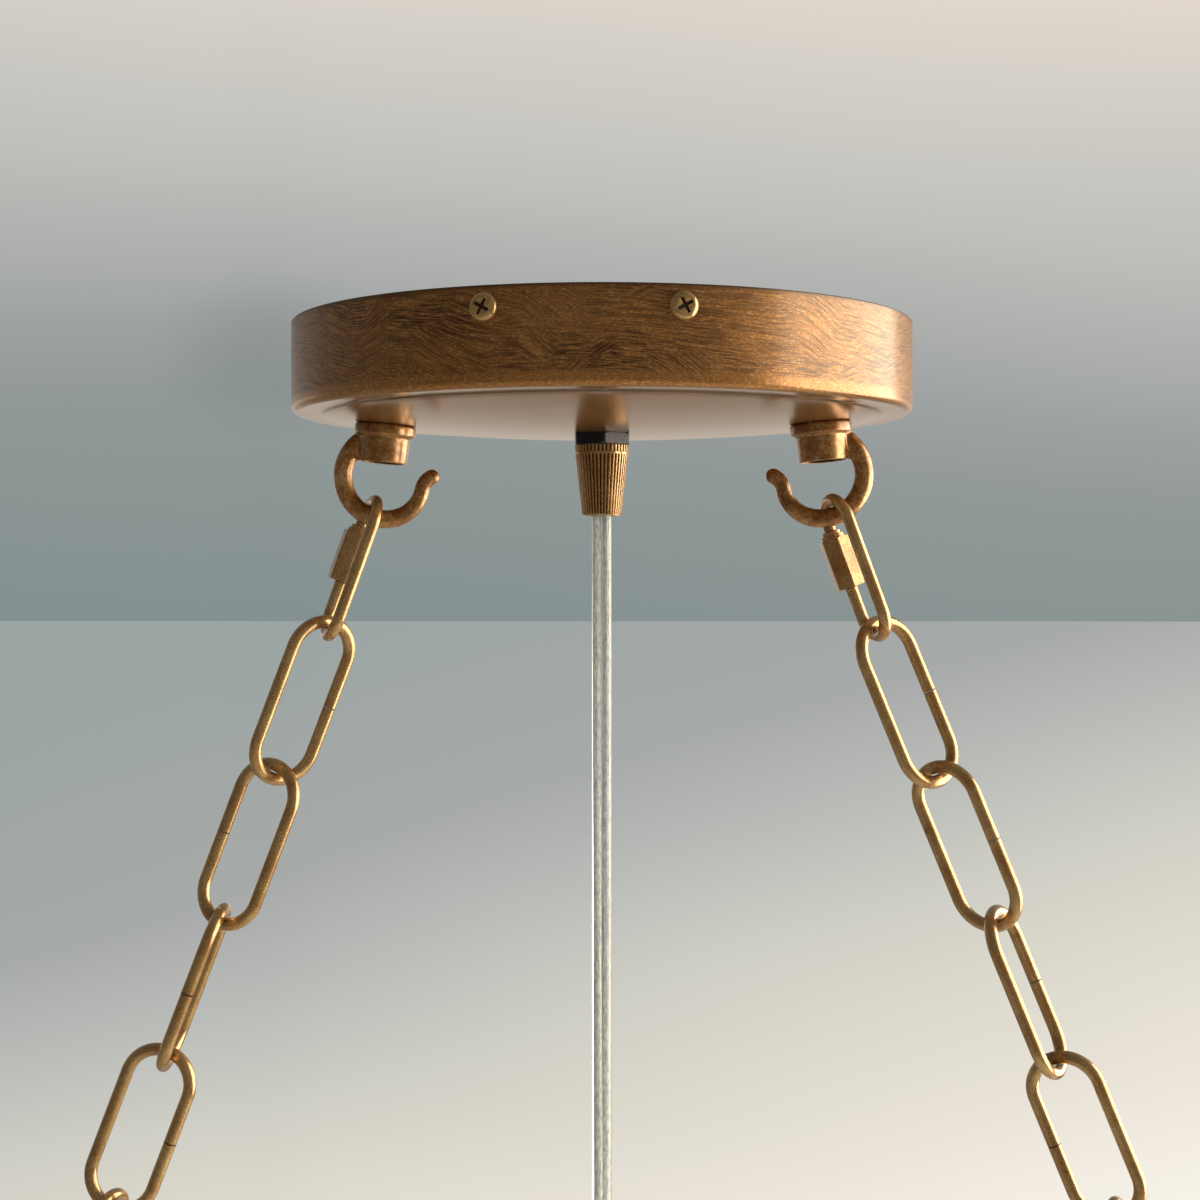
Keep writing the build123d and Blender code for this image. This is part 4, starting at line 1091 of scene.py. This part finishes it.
class OBJECT_OT_suspension_canopy_screws(Builder, bpy.types.Operator):
    """Set the round-headed screws that hold the canopy to its bracket"""

    bl_idname = "object.suspension_canopy_screws"
    bl_label = "Canopy screws"

    def build(self, sizes, colours):
        finish = antique_gold("steel wire", colours)
        nodes = [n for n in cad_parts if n.startswith("canopy_screw_")]
        arrows = {}
        for node in nodes:
            across = math.radians(SCREW_ANGLE) * (1 if node.endswith("right") else -1)
            outwards = 1 if "rear" in node else -1
            arrows[node] = Vector((math.sin(across), outwards * math.cos(across), 0))
        up = Vector((0, 0, 1))
        seats = {node: arrows[node] * CANOPY_RADIUS - up * SCREW_DROP for node in nodes}
        model = "canopy_screw_front_right"
        master = softened(model, "screw_master", finish, 0.12)
        at_model = placement(seats[model], up.cross(arrows[model]), arrows[model])
        master.data.transform(at_model.inverted())
        # Painted shade darkens the recess in each screw head
        paint_recess_shade(master.data, HERE, 1.0, SCREW_RECESS_RADIUS, *SCREW_RECESS_HEIGHTS)
        points = bpy.data.meshes.new("screw_points")
        points.from_pydata([seats[node] * MM for node in nodes], [], [])
        attribute = points.attributes.new("arrow", "FLOAT_VECTOR", "POINT")
        for place, node in zip(attribute.data, nodes):
            place.vector = arrows[node]
        source = new_object("screw_points", points)
        values = {"Screw": master, "Material": finish}
        tree = tree_once("Screws at points", screws_tree)
        mesh = grow("canopy_screws", source, tree, values)
        smooth_by_angle(mesh)
        drop(master)
        screws = join_meshes("canopy_screws", [mesh], finish)
        finish_piece(screws, ROOT, "canopy_screw", *nodes)


class OBJECT_OT_suspension_hooks(Builder, bpy.types.Operator):
    """Cast the two hooks with their flanged hubs"""

    bl_idname = "object.suspension_hooks"
    bl_label = "Hooks"

    def build(self, sizes, colours):
        finish = antique_gold("zinc casting", colours)
        skin = {"mode": "VOXEL", "voxel_size": HOOK_VOXEL * MM}
        for side in SIDES:
            node, name = "hook_" + side, "hook_casting_" + side
            # The joins of a casting run into each other
            ease = {"factor": 0.5, "iterations": 5}
            mesh = modified(cad_copy(node), name, REMESH=skin, SMOOTH=ease)
            mesh.shade_smooth()
            piece = join_meshes(name, [mesh], finish)
            # Painted shade darkens the recess under the hub
            recess = (HUB_RECESS_RADIUS, HUB_LIP - HUB_HEIGHT, 0)
            paint_recess_shade(piece.data, hub_placement(side), 1.2, *recess)
            finish_piece(piece, ROOT, "hook", node)


class OBJECT_OT_suspension_hook_hardware(Builder, bpy.types.Operator):
    """Thread the tubes that join hooks to canopy, with their washers and nuts"""

    bl_idname = "object.suspension_hook_hardware"
    bl_label = "Hook tubes, washers and nuts"

    def build(self, sizes, colours):
        for side in SIDES:
            place = hub_placement(side)
            ends = (-HOOK_TUBE_DROP, HOOK_TUBE_RISE)
            name = "hook_threaded_tube_" + side
            tube = threaded_tube(name, *ends, HOOK_TUBE_BORE, place, sizes.thread_pitch)
            finish_piece(tube, ROOT, "brass_tube", "hook_tube_" + side)
            name = f"hook_nut_{side}_plated"
            nut = hexagon_nut(name, NUT_LOW, NUT_HEIGHT, NUT_ACROSS_FLATS, place, 0, zinc_plate())
            finish_piece(nut, ROOT, "zinc_plate", "hook_nut_" + side)
            name = f"hook_lock_washer_{side}_plated"
            washer = softened("hook_lock_washer_" + side, name, zinc_plate(), 0.15)
            finish_piece(washer, ROOT, "zinc_plate", "hook_lock_washer_" + side)


class OBJECT_OT_suspension_chain_links(Builder, bpy.types.Operator):
    """Bend the chain links from wire, each with its butt seam"""

    bl_idname = "object.suspension_chain_links"
    bl_label = "Chain links"

    def build(self, sizes, colours):
        finish = antique_gold("steel wire", colours)
        bend = LINK_WIDTH / 2 - LINK_WIRE_RADIUS
        limb_half = LINK_LENGTH / 2 - LINK_WIRE_RADIUS - bend
        gap = LINK_SEAM_GAP / 2
        for side in SIDES:
            links = zip(chain_layout(side)[1:-1], LINK_SEAM_LIMBS[side])
            for count, (place, seam) in enumerate(links, start=1):
                node = f"chain_link_{side}_{count}"
                points = loop_points(bend, limb_half, seam, -gap, gap)
                radii = [LINK_END_SHARE] + [1.0] * (len(points) - 2) + [LINK_END_SHARE]
                mesh = wire_mesh(node, points, LINK_WIRE_RADIUS, place, finish, radii)
                piece = join_meshes(f"chain_loop_{side}_{count}", [mesh], finish)
                finish_piece(piece, node, "chain", node)


class OBJECT_OT_suspension_quick_links(Builder, bpy.types.Operator):
    """Bend the quick links, thread their open ends and turn their sleeves"""

    bl_idname = "object.suspension_quick_links"
    bl_label = "Quick links"

    def build(self, sizes, colours):
        bend = QUICK_LINK_LIMB_SPACING / 2
        limb_half = QUICK_LINK_LENGTH / 2 - QUICK_LINK_WIRE_RADIUS - bend
        finish = antique_gold("steel wire", colours)
        steel = antique_gold("hexagon steel", colours)
        points = loop_points(bend, limb_half, -1, *QUICK_LINK_MOUTH)
        low_end, high_end = QUICK_LINK_THREAD
        threads = (low_end, QUICK_LINK_MOUTH[0]), (QUICK_LINK_MOUTH[1], high_end)
        for side in SIDES:
            places = chain_layout(side)
            for prefix, place in (("", places[0]), ("lower_", places[-1])):
                node = f"{prefix}quick_link_{side}"
                meshes = [wire_mesh(node, points, QUICK_LINK_WIRE_RADIUS, place, finish)]
                limb = place @ Matrix.Translation((-bend * MM, 0, 0))
                for low, high in threads:
                    pitch = sizes.link_thread_pitch
                    meshes.append(threaded_end(node, low, high, limb, pitch, finish))
                finish_piece(join_meshes(node + "_loop", meshes, finish), node, "quick_link", node)
                node = f"{prefix}quick_link_sleeve_{side}"
                turn, name = SLEEVE_TURN[side], node + "_hexagon"
                sleeve = hexagon_piece(
                    name, sleeve_profile(), limb, SLEEVE_ACROSS_FLATS, turn, steel
                )
                finish_piece(sleeve, node, "sleeve", node)


class OBJECT_OT_suspension_cord_grips(Builder, bpy.types.Operator):
    """Turn the two cord grips: ribbed nut, moulded collar, bush, threaded tube and lock nut"""

    bl_idname = "object.suspension_cord_grips"
    bl_label = "Cord grips"

    def build(self, sizes, colours):
        paler = [c * 1.8 for c in colours.collar]
        black = make_plastic("black moulded nylon", colours.collar, paler, 0.22, 0.6)
        pale = make_metal("turned aluminium", "#b9bab8", "#dcdcd9", 0.3, 0.5)
        gold = antique_gold("ribbed nut", colours)
        ends = (
            ("", facing(COLLAR_BOTTOM, -1), COLLAR_BOTTOM, GRIP_TUBE),
            ("lower_", facing(LOWER_WIDE_END, 1), LOWER_WIDE_END - COLLAR_HEIGHT, LOWER_TUBE),
        )
        for prefix, place, collar_low, tube_ends in ends:
            nut = grip_nut(prefix + "grip_ribbed_nut", place, sizes, gold)
            finish_piece(nut, ROOT, "grip_nut", prefix + "grip_nut")
            name, height = prefix + "grip_moulded_collar", COLLAR_HEIGHT
            collar = hexagon_nut(
                name, collar_low, height, COLLAR_ACROSS_FLATS, HERE, COLLAR_TURN, black
            )
            finish_piece(collar, ROOT, "grip_collar", prefix + "grip_collar")
            bush = softened(prefix + "grip_bush", prefix + "grip_turned_bush", pale, 0.08)
            finish_piece(bush, ROOT, "grip_bush", prefix + "grip_bush")
            name = prefix + "grip_threaded_tube"
            tube = threaded_tube(name, *tube_ends, GRIP_TUBE_BORE, HERE, sizes.thread_pitch)
            finish_piece(tube, ROOT, "brass_tube", prefix + "grip_tube")
        name, ends = "grip_lock_nut_plated", (LOCK_NUT_LOW, LOCK_NUT_HEIGHT)
        nut = hexagon_nut(name, *ends, NUT_ACROSS_FLATS, HERE, 0, zinc_plate())
        finish_piece(nut, ROOT, "zinc_plate", "grip_lock_nut")


class OBJECT_OT_suspension_cable(Builder, bpy.types.Operator):
    """Draw the clear cable straight down from its grip, with two stranded conductors inside"""

    bl_idname = "object.suspension_cable"
    bl_label = "Clear cable"

    def build(self, sizes, colours):
        top = COLLAR_BOTTOM - GRIP_NUT_HEIGHT
        route = [(0, 0, (top * (4 - step) + CABLE_LOWER_END * step) / 4) for step in range(5)]
        cable = new_curve("clear_cable", "NURBS", route)
        data = cable.data
        spline = data.splines[0]
        spline.order_u = 3
        spline.use_endpoint_u = True
        spline.resolution_u = 24

        line = evaluated_mesh(cable)
        lane = [vertex.co / MM for vertex in line.vertices]
        bpy.data.meshes.remove(line)
        metal = make_tinned_copper(colours)
        values = {
            "Strands": STRANDS_IN_CORE,
            "Core offset": CORE_OFFSET * MM,
            "Core radius": sizes.core_radius - STRAND_RADIUS * MM,
            "Core twist": sizes.cable_twist,
            "Strand lay": STRAND_LAY * MM,
            "Strand radius": STRAND_RADIUS * MM,
            "Step": 1 * MM,
            "Material": metal,
        }
        source = new_curve("conductors", "POLY", lane)
        tree = tree_once("Stranded conductors", strands_tree)
        mesh = grow("cable_conductors", source, tree, values)
        conductors = join_meshes("cable_conductors", [mesh], metal)
        finish_piece(conductors, ROOT, "cable")

        data.bevel_depth = CABLE_RADIUS * MM
        data.bevel_resolution = 8
        data.use_fill_caps = True
        data.materials.append(make_clear_pvc())
        finish_piece(cable, ROOT, "cable", "cable")


def paint(node, material):
    """Give a CAD node that stays its own material."""
    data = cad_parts[node].data
    data.materials.clear()
    data.materials.append(material)


class OBJECT_OT_suspension_bracket_and_wiring(Builder, bpy.types.Operator):
    """Finish the bracket, terminal block, leads and screws inside the canopy"""

    bl_idname = "object.suspension_bracket_and_wiring"
    bl_label = "Bracket and wiring"

    def build(self, sizes, colours):
        bracket = softened("mounting_bracket", "zinc_bracket", zinc_plate(), 0.3)
        finish_piece(bracket, ROOT, "zinc_plate", "mounting_bracket")
        nylon = make_plastic("natural moulded nylon", "#d8d4c6", "#e8e5da", 0.45, 0.8)
        block = softened("terminal_block", "moulded_terminal_block", nylon, 0.25)
        finish_piece(block, ROOT, "terminal_block", "terminal_block")
        for node in ("terminal_screws", "earth_screw", "earth_ring_terminal"):
            paint(node, bare_brass())
        paint("terminal_block_screw", zinc_plate())
        paint("earth_lead", make_striped_pvc())
        plastics = {
            "live_lead": ("brown PVC insulation", "#4a2812", "#5c3318", 0.4, 0.5),
            "neutral_lead": ("blue PVC insulation", "#17407e", "#1f4f96", 0.4, 0.5),
            "cable_upper_end": ("sheathed cable end", "#cfd0cc", "#e2e3df", 0.3, 0.8),
        }
        for node, looks in plastics.items():
            paint(node, make_plastic(*looks))


# Stage


def add_light(name, place, size, power, colour):
    """Round soft light, turned to the middle of the part."""
    data = bpy.data.lights.new(name, "AREA")
    data.shape = "DISK"
    data.size = size
    data.energy = power
    data.color = hex_colour(colour)
    light = new_object(name, data)
    light.location = place
    aim = Vector((0, 0, -0.12)) - Vector(place)
    light.rotation_euler = aim.to_track_quat("-Z", "Y").to_euler()
    light.visible_camera = False
    return light


def backdrop_material(colours):
    """Matt backdrop that glows for the camera with painted light and shade: cool at the horizon,
    paler towards its top and its foot.

    The paler parts reach further in on the right, as they do where daylight falls in from there.
    A reflection finds it plain, like the studio round it: bright below and dimmer above."""
    material, position = new_material("backdrop painted with light and shade")
    tree = position.tree
    across, _, height = parts_of(position)
    drifted = height + (noise(stretched(position, (0.5, 1, 1.6)), 625, 1.0, 0.4) * 0.12 - 0.06)
    upper = ramp(
        spread(across * 0.1 + drifted, -0.17, 0.65),
        (0.0, colours.backdrop_upper),
        (0.21, "#8c9695"),
        (0.33, "#939a99"),
        (0.41, "#9da2a1"),
        (0.51, "#adafad"),
        (0.67, "#c0c0bc"),
        (0.88, "#d3cfc7"),
        (1.0, "#e1d7cd"),
    )
    lower = ramp(
        spread(across * -0.3 + drifted, -0.92, 0.02),
        (0.0, "#f7f2e8"),
        (0.15, "#ece5da"),
        (0.34, "#d9d6ca"),
        (0.44, "#cfcec5"),
        (0.57, "#bbbdb9"),
        (0.72, "#a7aaa9"),
        (1.0, colours.backdrop_lower),
    )
    colour = mixed_colours(height > HORIZON, lower, upper)
    # Painted shadow: a soft round shade that the canopy casts beside it
    beside = spread(across, -0.62, -0.34, -1.0, 1.0), spread(height, 0.1, 0.31, -1.0, 1.0)
    inputs = {0: combined(tree, *beside)}
    off_centre = output(tree, "ShaderNodeVectorMath", inputs, "Value", operation="LENGTH")
    shade = spread(off_centre, 1.15, 0.1, 0.0, 0.3, "SMOOTHSTEP")
    shown = glow(mixed_colours(shade, colour, "#6d7878"))
    plain = output(tree, "ShaderNodeBsdfDiffuse", {"Color": rgba("#c9c8c2")})
    room = ramp(
        spread(height, -0.8, 0.3),
        (0.0, "#8f8271"),
        (0.4, "#c4b9aa"),
        (0.6, "#eee6da"),
        (0.72, "#d8d0c4"),
        (1.0, "#8c8c86"),
    )
    lit = mixed_shaders(ray(tree, "Glossy"), plain, glow(room))
    seen = number("MAXIMUM", ray(tree, "Camera"), ray(tree, "Transmission"))
    return surfaced(material, mixed_shaders(seen, lit, shown))


def floor_material():
    """Pale matt floor, as pale to the eye where the lights hardly reach it."""
    material, position = new_material("pale matt floor")
    colour = ramp(noise(position, 60), (0.3, "#cfcdc6"), (0.7, "#d6d4cd"))
    inputs = {"Base Color": colour, "Roughness": 0.8}
    matt = output(position.tree, "ShaderNodeBsdfPrincipled", inputs)
    seen = ray(position.tree, "Camera") * 0.75
    return surfaced(material, mixed_shaders(seen, matt, glow(colour, 0.85)))


def stage_plane(name, corners, face, material):
    mesh = bpy.data.meshes.new(name)
    mesh.from_pydata(corners, [], [face])
    mesh.materials.append(material)
    return new_object(name, mesh)


class OBJECT_OT_suspension_stage(Builder, bpy.types.Operator):
    """Set the camera, the soft lights, the pale floor and the backdrop"""

    bl_idname = "object.suspension_stage"
    bl_label = "Stage"

    def build(self, sizes, colours):
        scene = bpy.context.scene
        scene.view_settings.view_transform = "Standard"

        data = bpy.data.cameras.new("photo_camera")
        data.sensor_width = 36.0
        data.lens = CAMERA_LENS
        data.shift_x = CAMERA_SHIFT
        data.clip_start = 0.02
        data.clip_end = 20.0
        camera = new_object("photo_camera", data)
        camera.location = CAMERA_PLACE
        camera.rotation_euler = (math.radians(90), 0, math.radians(CAMERA_TURN))
        scene.camera = camera

        left, right, back = -STAGE_HALF_WIDTH, STAGE_HALF_WIDTH, BACKDROP_DISTANCE
        low, high = FLOOR_HEIGHT, BACKDROP_TOP
        corners = [(left, back, low), (right, back, low), (right, back, high), (left, back, high)]
        wall = stage_plane("backdrop", corners, (0, 3, 2, 1), backdrop_material(colours))
        corners = [(left, left, low), (right, left, low), (right, back, low), (left, back, low)]
        floor = stage_plane("floor", corners, (0, 1, 2, 3), floor_material())

        add_light("window_side", (1.38, 0.24, -0.1), 1.9, 48.0, "#fff4de")
        fill = add_light("front_fill", (-0.2, -1.5, -0.05), 1.4, 11.0, "#fff8f0")
        bounce = add_light("floor_bounce", (0.1, -0.1, -1.05), 1.4, 2.5, "#fff8ef")
        fill.visible_glossy = bounce.visible_glossy = False

        world = bpy.data.worlds.new("soft_room")
        scene.world = world
        world.use_nodes = True
        tree = world.node_tree
        tree.nodes.clear()
        x, y, _ = parts_of(output(tree, "ShaderNodeTexCoord", socket="Generated"))
        strength = spread(y, -0.6, 0.6, 0.1, 0.3) + spread(x, 0.2, 1.0, 0.0, 0.25)
        inputs = {"Color": rgba("#d9dbd9"), "Strength": strength}
        room = output(tree, "ShaderNodeBackground", inputs)
        inputs = {"Color": rgba("#c2c6c3"), "Strength": 1.0}
        seen = output(tree, "ShaderNodeBackground", inputs)
        mixed = mixed_shaders(ray(tree, "Camera"), room, seen)
        add_node(tree, "ShaderNodeOutputWorld", {"Surface": mixed})


OPERATORS = (
    OBJECT_OT_suspension_stage,
    OBJECT_OT_suspension_cord_grips,
    OBJECT_OT_suspension_cable,
    OBJECT_OT_suspension_canopy,
    OBJECT_OT_suspension_canopy_screws,
    OBJECT_OT_suspension_hooks,
    OBJECT_OT_suspension_hook_hardware,
    OBJECT_OT_suspension_quick_links,
    OBJECT_OT_suspension_chain_links,
    OBJECT_OT_suspension_bracket_and_wiring,
)


class VIEW3D_PT_suspension(bpy.types.Panel):
    """Sizes, colours and pieces of the chandelier suspension"""

    bl_idname = "VIEW3D_PT_suspension"
    bl_label = "Chandelier suspension"
    bl_space_type = "VIEW_3D"
    bl_region_type = "UI"
    bl_category = "Chandelier"

    def draw(self, context):
        for group in (context.scene.suspension_sizes, context.scene.suspension_colours):
            box = self.layout.box()
            for name in group.__annotations__:
                box.prop(group, name)
        for operator in OPERATORS:
            self.layout.operator(operator.bl_idname)


CLASSES = (SuspensionSizes, SuspensionColours, *OPERATORS, VIEW3D_PT_suspension)


def register():
    for kind in CLASSES:
        bpy.utils.register_class(kind)
    bpy.types.Scene.suspension_sizes = PointerProperty(type=SuspensionSizes)
    bpy.types.Scene.suspension_colours = PointerProperty(type=SuspensionColours)


def unregister():
    del bpy.types.Scene.suspension_colours
    del bpy.types.Scene.suspension_sizes
    for kind in reversed(CLASSES):
        bpy.utils.unregister_class(kind)


def main():
    register()
    for operator in OPERATORS:
        group, name = operator.bl_idname.split(".")
        getattr(getattr(bpy.ops, group), name)()


if __name__ == "__main__":
    main()
